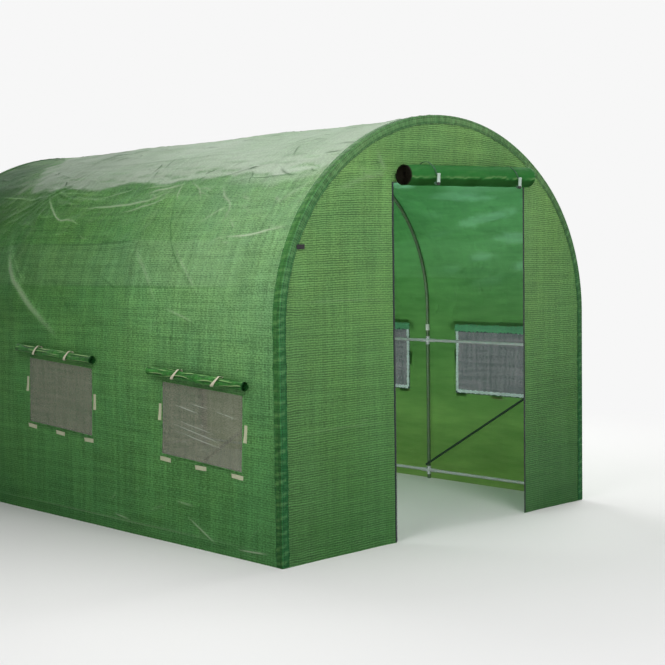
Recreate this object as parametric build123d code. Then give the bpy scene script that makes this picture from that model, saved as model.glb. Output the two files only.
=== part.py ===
"""Small polytunnel greenhouse: a galvanised tube frame under a green film cover.

Millimetres. X runs across the tunnel, Y from the door end to the back and Z up.
The origin is the middle of the ground plan, on the ground.
"""

from build123d import *
import os
from math import atan2, cos, degrees, hypot, radians, sin, tan

# Overall shape of the tunnel, over the cover
tunnel_width = 2000.0
tunnel_length = 3000.0
spring_height = 935.0
arch_rise = 895.0
shoulder_angle = 49.0
shoulder_rail_angle = 54.0

# Frame
bay_count = 3
hoop_tube_diameter = 19.0
rail_tube_diameter = 16.0
brace_tube_diameter = 12.0
base_rail_height = 45.0
leg_joint_below_spring = 104.0
waist_rail_below_joint = 71.0
fitting_wall = 1.8
fitting_length = 44.0
socket_reach = 52.0
leg_sleeve_length = 34.0
brace_overrun = 7.0
brace_foot_height = 80.0
brace_head_height = 675.0

# Cover, door and windows
cover_thickness = 2.5
hem_thickness = 1.5
hem_width = 36.0
door_left = -344.0
door_right = 536.0
door_head_below_ridge = 295.0
door_roll_diameter = 88.0
door_roll_inset = 20.0
door_roll_hang = 12.0
door_tie_width = 10.0
door_tie_inset = 155.0
zip_width = 9.0
zip_thickness = 2.0
toggle_diameter = 14.0
toggle_length = 38.0
window_width = 540.0
window_height = 320.0
first_left_window_from_front = 505.0
first_right_window_from_front = 530.0
left_window_pitch = 1070.0
right_window_pitch = 900.0
left_windows_below_spring = 410.0
right_windows_below_spring = 280.0
left_window_row_angle = 3.0
right_window_row_angle = 0.0
window_count = 3
window_roll_diameter = 43.0
window_roll_overhang = 62.0
window_roll_lift = 21.0
window_tie_width = 26.0
window_tie_inset = 165.0
tie_thickness = 1.5
strip_length = 64.0
strip_width = 18.0
strip_thickness = 1.5
strip_edge_gap = 3.0
ground_lift_of_trim = 4.0

# Clearances
seat_gap = 0.3
tube_play = 0.4
socket_play = 0.3

os.makedirs("parts", exist_ok=True)

# The arch is two haunch arcs and a crown arc that meet at the shoulders, just below the shoulder rails
half_width = tunnel_width / 2
shoulder = radians(shoulder_angle)
flattening = (1 - sin(shoulder)) / cos(shoulder)
haunch_radius = (arch_rise - half_width * flattening) / (1 - flattening)
haunch_x = half_width - haunch_radius
crown_drop = haunch_x * tan(shoulder)
crown_radius = arch_rise + crown_drop
crown_z = spring_height - crown_drop
ridge_height = spring_height + arch_rise
door_top = ridge_height - door_head_below_ridge
leg_joint_height = spring_height - leg_joint_below_spring
waist_rail_height = leg_joint_height - waist_rail_below_joint

# Frame sizes that follow. A joint's straight sleeve leaves room for the bow of the bent tube inside it
tube_radius = hoop_tube_diameter / 2
rail_radius = rail_tube_diameter / 2
brace_radius = brace_tube_diameter / 2
joint_bow = fitting_length**2 / (8 * haunch_radius)
straight_bore = tube_radius + tube_play
bent_bore = straight_bore + joint_bow
sleeve_radius = bent_bore + fitting_wall
socket_bore = rail_radius + socket_play
socket_radius = socket_bore + fitting_wall
tube_inset = cover_thickness + seat_gap + joint_bow + sleeve_radius
leg_x = half_width - tube_inset

# Lengthwise places: the door roll stands out at the front, so the hoops sit back by half of that
tie_reach = tie_thickness + seat_gap
roll_stand_off = tie_reach + seat_gap
door_roll_radius = door_roll_diameter / 2
hem_reach = hem_thickness + seat_gap
roll_reach = roll_stand_off + door_roll_diameter + tie_reach + seat_gap + toggle_diameter
front_shift = (roll_reach - hem_reach) / 2
front_face_y = -tunnel_length / 2 + hem_reach + front_shift
back_face_y = tunnel_length / 2 - hem_reach + front_shift
first_hoop_y = front_face_y + tube_inset
last_hoop_y = back_face_y - tube_inset
hoop_pitch = (last_hoop_y - first_hoop_y) / bay_count
hoop_places = [first_hoop_y + index * hoop_pitch for index in range(bay_count + 1)]
inner_hoop_names = ["second_hoop", "third_hoop", "fourth_hoop", "fifth_hoop", "sixth_hoop"]
hoop_names = ["front_hoop"] + inner_hoop_names[:bay_count - 1] + ["back_hoop"]
cover_length = back_face_y - front_face_y

along_y = (0, 1, 0)


def mirrored(shape):
    """The same piece on the other side of the tunnel."""
    return mirror(shape, about=Plane.YZ)


def save(name, *solids):
    """Write one node, made of one solid or of several that don't touch."""
    shape = solids[0] if len(solids) == 1 else Compound(children=list(solids))
    export_step(shape, f"parts/{name}.step")


def rod(start, end, radius):
    """A round bar from one point to another."""
    path = Vector(*end) - Vector(*start)
    return extrude(Plane(origin=start, z_dir=path) * Circle(radius), amount=path.length)


def block(low, high):
    """A box between two corners."""
    size = [top - bottom for bottom, top in zip(low, high)]
    middle = [(bottom + top) / 2 for bottom, top in zip(low, high)]
    return Location(middle) * Box(*size)


def arch_point(angle, inset):
    """A point of the right-hand arch, at an angle above the spring line, this far inside the cover."""
    if angle <= shoulder_angle:
        centre_x, centre_z, radius = haunch_x, spring_height, haunch_radius - inset
    else:
        centre_x, centre_z, radius = 0, crown_z, crown_radius - inset
    turn = radians(angle)
    return centre_x + radius * cos(turn), centre_z + radius * sin(turn)


def arch_prism(inset, start_y, depth, foot=0.0):
    """Everything under the arch, this far inside the cover, over a stretch of the tunnel."""
    haunch_middle = shoulder_angle / 2

    def place(angle, side):
        x, z = arch_point(angle, inset)
        return side * x, start_y, z

    foot_x = half_width - inset
    ridge = (0, start_y, ridge_height - inset)
    outline = [
        Line((-foot_x, start_y, foot), (-foot_x, start_y, spring_height)),
        ThreePointArc(place(0, -1), place(haunch_middle, -1), place(shoulder_angle, -1)),
        ThreePointArc(place(shoulder_angle, -1), ridge, place(shoulder_angle, 1)),
        ThreePointArc(place(shoulder_angle, 1), place(haunch_middle, 1), place(0, 1)),
        Line((foot_x, start_y, spring_height), (foot_x, start_y, foot)),
        Line((foot_x, start_y, foot), (-foot_x, start_y, foot)),
    ]
    return extrude(make_face(outline), amount=depth, dir=along_y)


def arc_sheet(low_angle, high_angle):
    """The cover between two angles of the right-hand arch, from the front face to the back face."""
    middle = (low_angle + high_angle) / 2
    on_crown = middle > shoulder_angle
    centre_x, centre_z = (0, crown_z) if on_crown else (haunch_x, spring_height)
    radius = crown_radius if on_crown else haunch_radius

    def place(angle, inset):
        reach = radius - inset
        turn = radians(angle)
        return centre_x + reach * cos(turn), front_face_y, centre_z + reach * sin(turn)

    outline = [
        ThreePointArc(*[place(angle, 0) for angle in (low_angle, middle, high_angle)]),
        Line(place(high_angle, 0), place(high_angle, cover_thickness)),
        ThreePointArc(*[place(angle, cover_thickness) for angle in (high_angle, middle, low_angle)]),
        Line(place(low_angle, cover_thickness), place(low_angle, 0)),
    ]
    return extrude(make_face(outline), amount=cover_length, dir=along_y)


def half_arch(hoop_y):
    """The bent right-hand tube of a hoop, from the joint on its leg up to the ridge."""

    def place(angle):
        x, z = arch_point(angle, tube_inset)
        return x, hoop_y, z

    crown_middle = (shoulder_angle + 90) / 2
    ridge_x = seat_gap / 2
    crown_reach = crown_radius - tube_inset
    end_angle = degrees(atan2(crown_reach, ridge_x))
    path = Wire([
        Line((leg_x, hoop_y, leg_joint_height + seat_gap / 2), (leg_x, hoop_y, spring_height)),
        ThreePointArc(place(0), place(shoulder_angle / 2), place(shoulder_angle)),
        ThreePointArc(place(shoulder_angle), place(crown_middle), place(end_angle)),
    ])
    section = Plane(origin=path @ 0, z_dir=path % 0) * Circle(tube_radius)
    return sweep(section, path=path)


def tube_joint(arms, bore, sleeve_length=fitting_length):
    """A tube joint about the origin: a sleeve along Z for the hoop, a socket along each arm for a rail."""
    shape = Cylinder(sleeve_radius, sleeve_length)
    for arm in arms:
        shape += rod((0, 0, 0), tuple(socket_reach * part for part in arm), socket_radius)
    shape -= Cylinder(bore, sleeve_length + socket_reach)
    for arm in arms:
        near = tuple((sleeve_radius + seat_gap) * part for part in arm)
        far = tuple((socket_reach + socket_radius) * part for part in arm)
        shape -= rod(near, far, socket_bore)
    return shape


def arms_at(index):
    """The directions in which rails leave the hoop of this number along the tunnel."""
    arms = []
    if index > 0:
        arms.append((0, -1, 0))
    if index < bay_count:
        arms.append((0, 1, 0))
    return arms


def rail(x, z):
    """One lengthwise rail, as a bar in each bay that ends inside the sockets at both hoops."""
    stop = sleeve_radius + 2 * seat_gap
    return [
        rod((x, near + stop, z), (x, far - stop, z), rail_radius)
        for near, far in zip(hoop_places, hoop_places[1:])
    ]


# Hoops: two straight legs and two bent halves each
for name, hoop_y in zip(hoop_names, hoop_places):
    leg_top = leg_joint_height - seat_gap / 2
    leg = rod((leg_x, hoop_y, 0), (leg_x, hoop_y, leg_top), tube_radius)
    save(f"{name}_legs", leg, mirrored(leg))
    arch = half_arch(hoop_y)
    save(f"{name}_arch", arch, mirrored(arch))

# Lengthwise rails
shoulder_x, shoulder_z = arch_point(shoulder_rail_angle, tube_inset)
ridge_z = ridge_height - tube_inset
save("ridge_rail", *rail(0, ridge_z))
for rail_name, x, z in [
    ("shoulder_rail", shoulder_x, shoulder_z),
    ("waist_rail", leg_x, waist_rail_height),
    ("base_rail", leg_x, base_rail_height),
]:
    bars = rail(x, z)
    save(f"right_{rail_name}", *bars)
    save(f"left_{rail_name}", *[mirrored(bar) for bar in bars])

# Base rail across the closed end
cross_stop = leg_x - sleeve_radius - 2 * seat_gap
cross_start = (-cross_stop, last_hoop_y, base_rail_height)
cross_end = (cross_stop, last_hoop_y, base_rail_height)
save("back_base_rail", rod(cross_start, cross_end, rail_radius))

# Braces from low on the second and third hoops up to the end hoops, against the legs
brace_x = leg_x - tube_radius - seat_gap - brace_radius
brace_rise = brace_head_height - brace_foot_height
brace_span = hypot(hoop_pitch, brace_rise)
for name, foot_y, head_y in [
    ("front_braces", hoop_places[1], hoop_places[0]),
    ("back_braces", hoop_places[-2], hoop_places[-1]),
]:
    extra_y = (head_y - foot_y) * brace_overrun / brace_span
    extra_z = brace_rise * brace_overrun / brace_span
    foot = (brace_x, foot_y - extra_y, brace_foot_height - extra_z)
    head = (brace_x, head_y + extra_y, brace_head_height + extra_z)
    brace = rod(foot, head, brace_radius)
    save(name, brace, mirrored(brace))

# Tube joints on every hoop
ridge_joints = []
shoulder_joints = []
waist_joints = []
foot_joints = []
leg_sleeves = []
for index, hoop_y in enumerate(hoop_places):
    arms = arms_at(index)
    ridge_joints.append(Location((0, hoop_y, ridge_z), (0, 90, 0)) * tube_joint(arms, bent_bore))
    shoulder_place = Location((shoulder_x, hoop_y, shoulder_z), (0, -shoulder_rail_angle, 0))
    shoulder_joint = shoulder_place * tube_joint(arms, bent_bore)
    shoulder_joints += [shoulder_joint, mirrored(shoulder_joint)]
    waist_joint = Location((leg_x, hoop_y, waist_rail_height)) * tube_joint(arms, straight_bore)
    waist_joints += [waist_joint, mirrored(waist_joint)]
    foot_arms = arms + ([(-1, 0, 0)] if index == bay_count else [])
    foot_joint = Location((leg_x, hoop_y, base_rail_height)) * tube_joint(foot_arms, straight_bore)
    foot_joints += [foot_joint, mirrored(foot_joint)]
    leg_sleeve = tube_joint([], straight_bore, leg_sleeve_length)
    leg_sleeve = Location((leg_x, hoop_y, leg_joint_height)) * leg_sleeve
    leg_sleeves += [leg_sleeve, mirrored(leg_sleeve)]
save("ridge_joints", *ridge_joints)
save("shoulder_joints", *shoulder_joints)
save("waist_joints", *waist_joints)
save("foot_joints", *foot_joints)
save("leg_sleeves", *leg_sleeves)


class WindowRow:
    """The roll-up windows of one side. Local places are along the tunnel and up, on the wall's face."""

    def __init__(self, side, first_from_front, pitch, below_spring, angle):
        """Set one row: side is -1 for the left wall and 1 for the right, angle is up to the back."""
        self.side = side
        self.angle = angle
        self.wall_x = side * half_width
        self.centres = []
        for index in range(window_count):
            along = index * pitch
            height = spring_height - below_spring + along * tan(radians(angle))
            self.centres.append((front_face_y + first_from_front + along, height))

    def set_on_wall(self, shape, centre):
        """Turn a piece made about the origin to the row's angle and put it at a window's middle."""
        turned = Rotation(self.angle, 0, 0) * shape
        return Location((self.wall_x, centre[0], centre[1])) * turned

    def outward(self, near, far):
        """Two distances out from the wall's face, as a low and a high X about it."""
        return sorted((self.side * near, self.side * far))

    def panel(self, centre, grow, near, far):
        """A flat piece as large as the window and a little more all round, between two distances out."""
        low_x, high_x = self.outward(near, far)
        half_length = window_width / 2 + grow
        half_rise = window_height / 2 + grow
        plate = block((low_x, -half_length, -half_rise), (high_x, half_length, half_rise))
        return self.set_on_wall(plate, centre)

    def cut_outs(self):
        """The holes that the windows leave in the wall."""
        depth = 2 * cover_thickness
        return [self.panel(centre, 0, -depth, depth) for centre in self.centres]

    def screens(self):
        """The insect mesh set in each hole."""
        return [self.panel(centre, -seat_gap, -cover_thickness, 0) for centre in self.centres]

    def roll_axis(self):
        """The rolled flap's middle, out from the wall and up from the window's middle."""
        out = roll_stand_off + window_roll_diameter / 2
        return self.side * out, window_height / 2 + window_roll_lift + window_roll_diameter / 2

    def rolls(self):
        """The flap of each window, rolled up above it."""
        x, z = self.roll_axis()
        reach = window_width / 2 + window_roll_overhang
        bar = rod((x, -reach, z), (x, reach, z), window_roll_diameter / 2)
        return [self.set_on_wall(bar, centre) for centre in self.centres]

    def ties(self):
        """The ribbons that hold each rolled flap, as two bands round it."""
        x, z = self.roll_axis()
        bore = window_roll_diameter / 2 + seat_gap
        bands = []
        for place in (-1, 1):
            middle = place * (window_width / 2 - window_tie_inset)
            start = (x, middle - window_tie_width / 2, z)
            end = (x, middle + window_tie_width / 2, z)
            bands.append(rod(start, end, bore + tie_thickness) - rod(start, end, bore))
        return [self.set_on_wall(band, centre) for centre in self.centres for band in bands]

    def strips(self):
        """Short hook-and-loop strips about each window: one up each side and three along the bottom."""
        low_x, high_x = self.outward(0, strip_thickness)
        side_y = window_width / 2 + strip_edge_gap
        foot_z = -window_height / 2 - strip_edge_gap
        strips = []
        for place in (-1, 1):
            low_y, high_y = sorted((place * side_y, place * (side_y + strip_width)))
            low = (low_x, low_y, -strip_length / 2)
            strips.append(block(low, (high_x, high_y, strip_length / 2)))
        for place in (-1, 0, 1):
            middle = place * (window_width - strip_length) / 2
            low = (low_x, middle - strip_length / 2, foot_z - strip_width)
            high = (high_x, middle + strip_length / 2, foot_z)
            strips.append(block(low, high))
        return [self.set_on_wall(strip, centre) for centre in self.centres for strip in strips]


# Side cover, in three sheets a side: upright wall, shoulder and roof
rows = {
    "left": WindowRow(
        -1, first_left_window_from_front, left_window_pitch, left_windows_below_spring, left_window_row_angle
    ),
    "right": WindowRow(
        1, first_right_window_from_front, right_window_pitch, right_windows_below_spring, right_window_row_angle
    ),
}
shoulder_sheet = arc_sheet(0, shoulder_angle)
roof_sheet = arc_sheet(shoulder_angle, 90)
for side_name, row in rows.items():
    low_x, high_x = sorted((row.wall_x, row.wall_x - row.side * cover_thickness))
    wall = block((low_x, front_face_y, 0), (high_x, back_face_y, spring_height))
    for hole in row.cut_outs():
        wall -= hole
    save(f"{side_name}_wall_cover", wall)
    save(f"{side_name}_shoulder_cover", shoulder_sheet if row.side > 0 else mirrored(shoulder_sheet))
    save(f"{side_name}_roof_cover", roof_sheet if row.side > 0 else mirrored(roof_sheet))
    save(f"{side_name}_window_screens", *row.screens())
    save(f"{side_name}_window_rolls", *row.rolls())
    save(f"{side_name}_window_ties", *row.ties())
    save(f"{side_name}_window_strips", *row.strips())

# End panels: the front one is in three pieces about the doorway
panel_inset = cover_thickness + seat_gap
front_panel = arch_prism(panel_inset, front_face_y, cover_thickness)
for name, low_x, high_x, low_z in [
    ("front_left_panel", -half_width, door_left, 0),
    ("front_right_panel", door_right, half_width, 0),
    ("front_top_panel", door_left, door_right, door_top),
]:
    piece = block((low_x, front_face_y, low_z), (high_x, front_face_y + cover_thickness, ridge_height))
    save(name, front_panel & piece)
save("back_panel", arch_prism(panel_inset, back_face_y - cover_thickness, cover_thickness))


def hem(face_y, outward):
    """The doubled edge band round an end of the cover: over the side cover and the end panel's rim."""
    inner_y = face_y - outward * hem_width
    outer_y = face_y + outward * hem_reach
    start = min(inner_y, outer_y)
    solid = arch_prism(-hem_reach, start, abs(outer_y - inner_y), ground_lift_of_trim)
    body_start = min(inner_y, face_y + outward * seat_gap)
    solid -= arch_prism(-seat_gap, body_start, hem_width + seat_gap)
    rim_start = min(face_y, outer_y + outward * hem_reach)
    solid -= arch_prism(hem_width, rim_start, 2 * hem_reach)
    return solid


save("front_hem", hem(front_face_y, -1))
save("back_hem", hem(back_face_y, 1))

# Rolled door with its ties and toggles, and the zips down the doorway's edges
roll_y = front_face_y - roll_stand_off - door_roll_radius
roll_z = door_top + door_roll_radius - door_roll_hang
roll_start = door_left + door_roll_inset
roll_end = door_right - door_roll_inset
save("door_roll", rod((roll_start, roll_y, roll_z), (roll_end, roll_y, roll_z), door_roll_radius))
tie_bore = door_roll_radius + seat_gap
toggle_radius = toggle_diameter / 2
tie_bands = []
toggles = []
for tie_x in (door_left + door_tie_inset, door_right - door_tie_inset):
    start = (tie_x - door_tie_width / 2, roll_y, roll_z)
    end = (tie_x + door_tie_width / 2, roll_y, roll_z)
    tie_bands.append(rod(start, end, tie_bore + tie_thickness) - rod(start, end, tie_bore))
    toggle_y = roll_y - tie_bore - tie_thickness - seat_gap - toggle_radius
    toggles.append(rod((tie_x, toggle_y, roll_z), (tie_x, toggle_y, roll_z - toggle_length), toggle_radius))
save("door_ties", *tie_bands)
save("door_toggles", *toggles)

zips = []
for edge_x, outward in ((door_left, -1), (door_right, 1)):
    low_x, high_x = sorted((edge_x, edge_x + outward * zip_width))
    low = (low_x, front_face_y - zip_thickness, ground_lift_of_trim)
    high = (high_x, front_face_y, door_top - seat_gap)
    zips.append(block(low, high))
save("door_zips", *zips)
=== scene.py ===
"""Looks of a small polytunnel greenhouse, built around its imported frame.

Metres. X runs across the tunnel, Y from the door end to the back and Z up. The film is drawn as a
flat pattern first, with every fold in it, and is then laid over the hoops.
"""

import logging
import math
from collections.abc import Callable, Sequence
from dataclasses import dataclass, field
from enum import Enum

import bpy
import numpy as np
from mathutils import Matrix, Vector
from mathutils.geometry import delaunay_2d_cdt


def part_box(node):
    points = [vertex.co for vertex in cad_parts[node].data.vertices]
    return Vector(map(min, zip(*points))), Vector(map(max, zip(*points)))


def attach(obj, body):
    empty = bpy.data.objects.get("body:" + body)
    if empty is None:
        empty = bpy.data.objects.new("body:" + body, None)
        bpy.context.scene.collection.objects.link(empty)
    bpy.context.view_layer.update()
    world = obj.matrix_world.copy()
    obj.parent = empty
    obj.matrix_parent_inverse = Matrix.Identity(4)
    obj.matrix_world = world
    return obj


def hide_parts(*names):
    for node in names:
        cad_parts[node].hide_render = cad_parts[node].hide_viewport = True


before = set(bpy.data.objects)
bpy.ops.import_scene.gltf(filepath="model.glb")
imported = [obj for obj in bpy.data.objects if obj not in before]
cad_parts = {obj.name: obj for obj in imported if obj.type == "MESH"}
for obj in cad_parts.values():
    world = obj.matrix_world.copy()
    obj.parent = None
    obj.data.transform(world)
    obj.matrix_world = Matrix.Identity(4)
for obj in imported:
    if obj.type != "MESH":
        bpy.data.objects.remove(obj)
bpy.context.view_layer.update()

log = logging.getLogger("polytunnel")
Colour = tuple[float, float, float]
Span = tuple[float, float]
ROOT = "root"


class Side(Enum):
    """The two long sides of the tunnel, as the sign of X."""

    LEFT = -1
    RIGHT = 1

    @property
    def word(self) -> str:
        """The side's name, as it stands in the names of pieces."""
        return self.name.lower()


class End(Enum):
    """The two ends of the tunnel, as the sign of Y."""

    FRONT = -1
    BACK = 1

    @property
    def word(self) -> str:
        """The end's name, as it stands in the names of pieces."""
        return self.name.lower()


def paint(red: int, green: int, blue: int) -> Colour:
    """A colour picked on a screen, as the linear light that shaders work in.

    Args:
        red: Red, from 0 to 255.
        green: Green, from 0 to 255.
        blue: Blue, from 0 to 255.

    Returns:
        The three linear values, from 0 to 1.
    """
    shares = [value / 255 for value in (red, green, blue)]
    return tuple(s / 12.92 if s <= 0.04045 else ((s + 0.055) / 1.055) ** 2.4 for s in shares)


def ripple(flat: np.ndarray, wavelength: float, seed: int, heading: Span = (0.0, 180.0)) -> np.ndarray:
    """Smooth random waves over a flat pattern.

    Args:
        flat: Places on the pattern, one row each.
        wavelength: The usual distance between crests.
        seed: Picks the waves.
        heading: The middle and the spread of the waves' headings, in degrees.

    Returns:
        One height for each place, mostly between -1 and 1.
    """
    draw = np.random.default_rng(seed)
    waves = 7
    total = np.zeros(len(flat))
    for _ in range(waves):
        turn = math.radians(heading[0] + heading[1] * draw.uniform(-0.5, 0.5))
        length = wavelength * draw.uniform(0.65, 1.6)
        phase = draw.uniform(0, 2 * math.pi)
        total += np.sin(2 * math.pi * (flat @ (math.cos(turn), math.sin(turn))) / length + phase)
    return total / math.sqrt(waves)


def smooth_step(value: np.ndarray, low: float, high: float) -> np.ndarray:
    """A soft step from 0 at low to 1 at high."""
    share = np.clip((value - low) / (high - low), 0, 1)
    return share * share * (3 - 2 * share)


def smooth_line(points: Sequence[Span], spacing: float) -> np.ndarray:
    """A line through all the points, rounded at each.

    Args:
        points: Two or more places on a flat pattern.
        spacing: The usual distance between the line's own points.

    Returns:
        The line's points, one row each.
    """
    knots = np.array(points, float)
    knots = np.vstack([2 * knots[0] - knots[1], knots, 2 * knots[-1] - knots[-2]])
    line = []
    for before, start, end, after in zip(knots, knots[1:], knots[2:], knots[3:]):
        steps = max(2, round(float(np.linalg.norm(end - start)) / spacing))
        t = (np.arange(steps) / steps)[:, None]
        line.append(0.5 * (
            2 * start + (end - before) * t
            + (2 * before - 5 * start + 4 * end - after) * t**2
            + (3 * start - before - 3 * end + after) * t**3
        ))
    return np.vstack([*line, knots[-2]])


class NodeBench:
    """Adds nodes to one material or node group, and links them."""

    def __init__(self, tree: bpy.types.NodeTree) -> None:
        """Work on this tree.

        Args:
            tree: The node tree of a material, a world or a group.
        """
        self.tree = tree

    def add(self, kind: str, **settings: object) -> bpy.types.Node:
        """A new node.

        Args:
            kind: The node's type.
            settings: Values of the node's own properties.

        Returns:
            The node.
        """
        node = self.tree.nodes.new(kind)
        for name, value in settings.items():
            setattr(node, name, value)
        return node

    def feed(self, socket: bpy.types.NodeSocket, value: object) -> None:
        """Link a socket to another one, or set it.

        Args:
            socket: The input to fill.
            value: An output socket, a number, a colour or a vector.
        """
        if isinstance(value, bpy.types.NodeSocket):
            self.tree.links.new(value, socket)
        elif isinstance(value, tuple) and socket.type == "RGBA":
            socket.default_value = (*value, 1.0)
        else:
            socket.default_value = value

    def fill(self, node: bpy.types.Node, **values: object) -> bpy.types.Node:
        """Feed several inputs of a node.

        Args:
            node: The node.
            values: A value for each input, its name with _ for a space.

        Returns:
            The node.
        """
        for name, value in values.items():
            self.feed(node.inputs[name.replace("_", " ")], value)
        return node

    def maths(self, operation: str, *values: object, clamp: bool = False) -> bpy.types.NodeSocket:
        """The result of a Math node on one to three values."""
        node = self.add("ShaderNodeMath", operation=operation, use_clamp=clamp)
        for socket, value in zip(node.inputs, values):
            self.feed(socket, value)
        return node.outputs[0]

    def mix(self, share: object, low: object, high: object, blend: str = "MIX") -> bpy.types.NodeSocket:
        """One colour over another.

        Args:
            share: How much of the second colour shows.
            low: The first colour.
            high: The second colour.
            blend: The way of blending.

        Returns:
            The colour's socket.
        """
        node = self.add("ShaderNodeMix", data_type="RGBA", blend_type=blend)
        for index, value in ((0, share), (6, low), (7, high)):
            self.feed(node.inputs[index], value)
        return node.outputs[2]

    def span(self, value: object, came: Span, goes: Span) -> bpy.types.NodeSocket:
        """A value moved from one range to another, and held inside it."""
        node = self.add("ShaderNodeMapRange", clamp=True)
        for socket, number in zip(node.inputs, (value, *came, *goes)):
            self.feed(socket, number)
        return node.outputs[0]

    def stretched(self, vector: object, scale: tuple[float, float, float]) -> bpy.types.NodeSocket:
        """A pattern's coordinates, scaled along each axis."""
        return self.fill(self.add("ShaderNodeMapping"), Vector=vector, Scale=scale).outputs[0]

    def noise(self, vector: object, scale: float, detail: float = 3.0) -> bpy.types.NodeSocket:
        """Cloudy noise, about 0.5, with this many clouds to the metre."""
        node = self.add("ShaderNodeTexNoise")
        return self.fill(node, Vector=vector, Scale=scale, Detail=detail).outputs[0]

    def place(self) -> bpy.types.NodeSocket:
        """The place on the piece, in metres."""
        return self.add("ShaderNodeTexCoord").outputs["Object"]

    def pattern(self) -> bpy.types.NodeSocket:
        """The place on the piece's flat pattern, in metres."""
        return self.add("ShaderNodeUVMap", uv_map="pattern").outputs[0]

    def attribute(self, name: str) -> bpy.types.NodeSocket:
        """A value kept at each point of the piece."""
        return self.add("ShaderNodeAttribute", attribute_name=name).outputs["Fac"]

    def group(self, made: bpy.types.NodeTree, **values: object) -> bpy.types.Node:
        """A node group set down with its own values.

        Args:
            made: The group.
            values: A value for each of its inputs, with _ for a space.

        Returns:
            The group's node.
        """
        return self.fill(self.add("ShaderNodeGroup", node_tree=made), **values)

    def bump(self, height: object, strength: object, depth: float, **more: object) -> bpy.types.NodeSocket:
        """A surface normal that follows a height.

        Args:
            height: The height, from 0 to 1.
            strength: How strongly it shows.
            depth: The relief in metres.
            more: Further inputs of the node, such as the Normal that it starts from.

        Returns:
            The normal's socket.
        """
        node = self.add("ShaderNodeBump")
        return self.fill(node, Strength=strength, Distance=depth, Height=height, **more).outputs[0]

    def two_shaders(
        self, share: object, first: bpy.types.NodeSocket, second: bpy.types.NodeSocket
    ) -> bpy.types.NodeSocket:
        """Two shaders mixed, with this share of the second."""
        node = self.add("ShaderNodeMixShader")
        for socket, value in zip(node.inputs, (share, first, second)):
            self.feed(socket, value)
        return node.outputs[0]


def started_group(
    name: str, inputs: dict[str, float | None], outputs: Sequence[str]
) -> tuple[bpy.types.NodeTree, NodeBench, bpy.types.Node, bpy.types.Node]:
    """An empty shader node group with its sockets.

    Args:
        name: The group's name.
        inputs: Each input with its usual value, or None for a vector.
        outputs: The names of the values that it puts out.

    Returns:
        The group, a bench to work on it, and its input and output nodes.
    """
    made = bpy.data.node_groups.new(name, "ShaderNodeTree")
    for socket, usual in inputs.items():
        kind = "NodeSocketVector" if usual is None else "NodeSocketFloat"
        item = made.interface.new_socket(socket, in_out="INPUT", socket_type=kind)
        if usual is not None:
            item.default_value = usual
    for socket in outputs:
        made.interface.new_socket(socket, in_out="OUTPUT", socket_type="NodeSocketFloat")
    bench = NodeBench(made)
    return made, bench, bench.add("NodeGroupInput"), bench.add("NodeGroupOutput")


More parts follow.
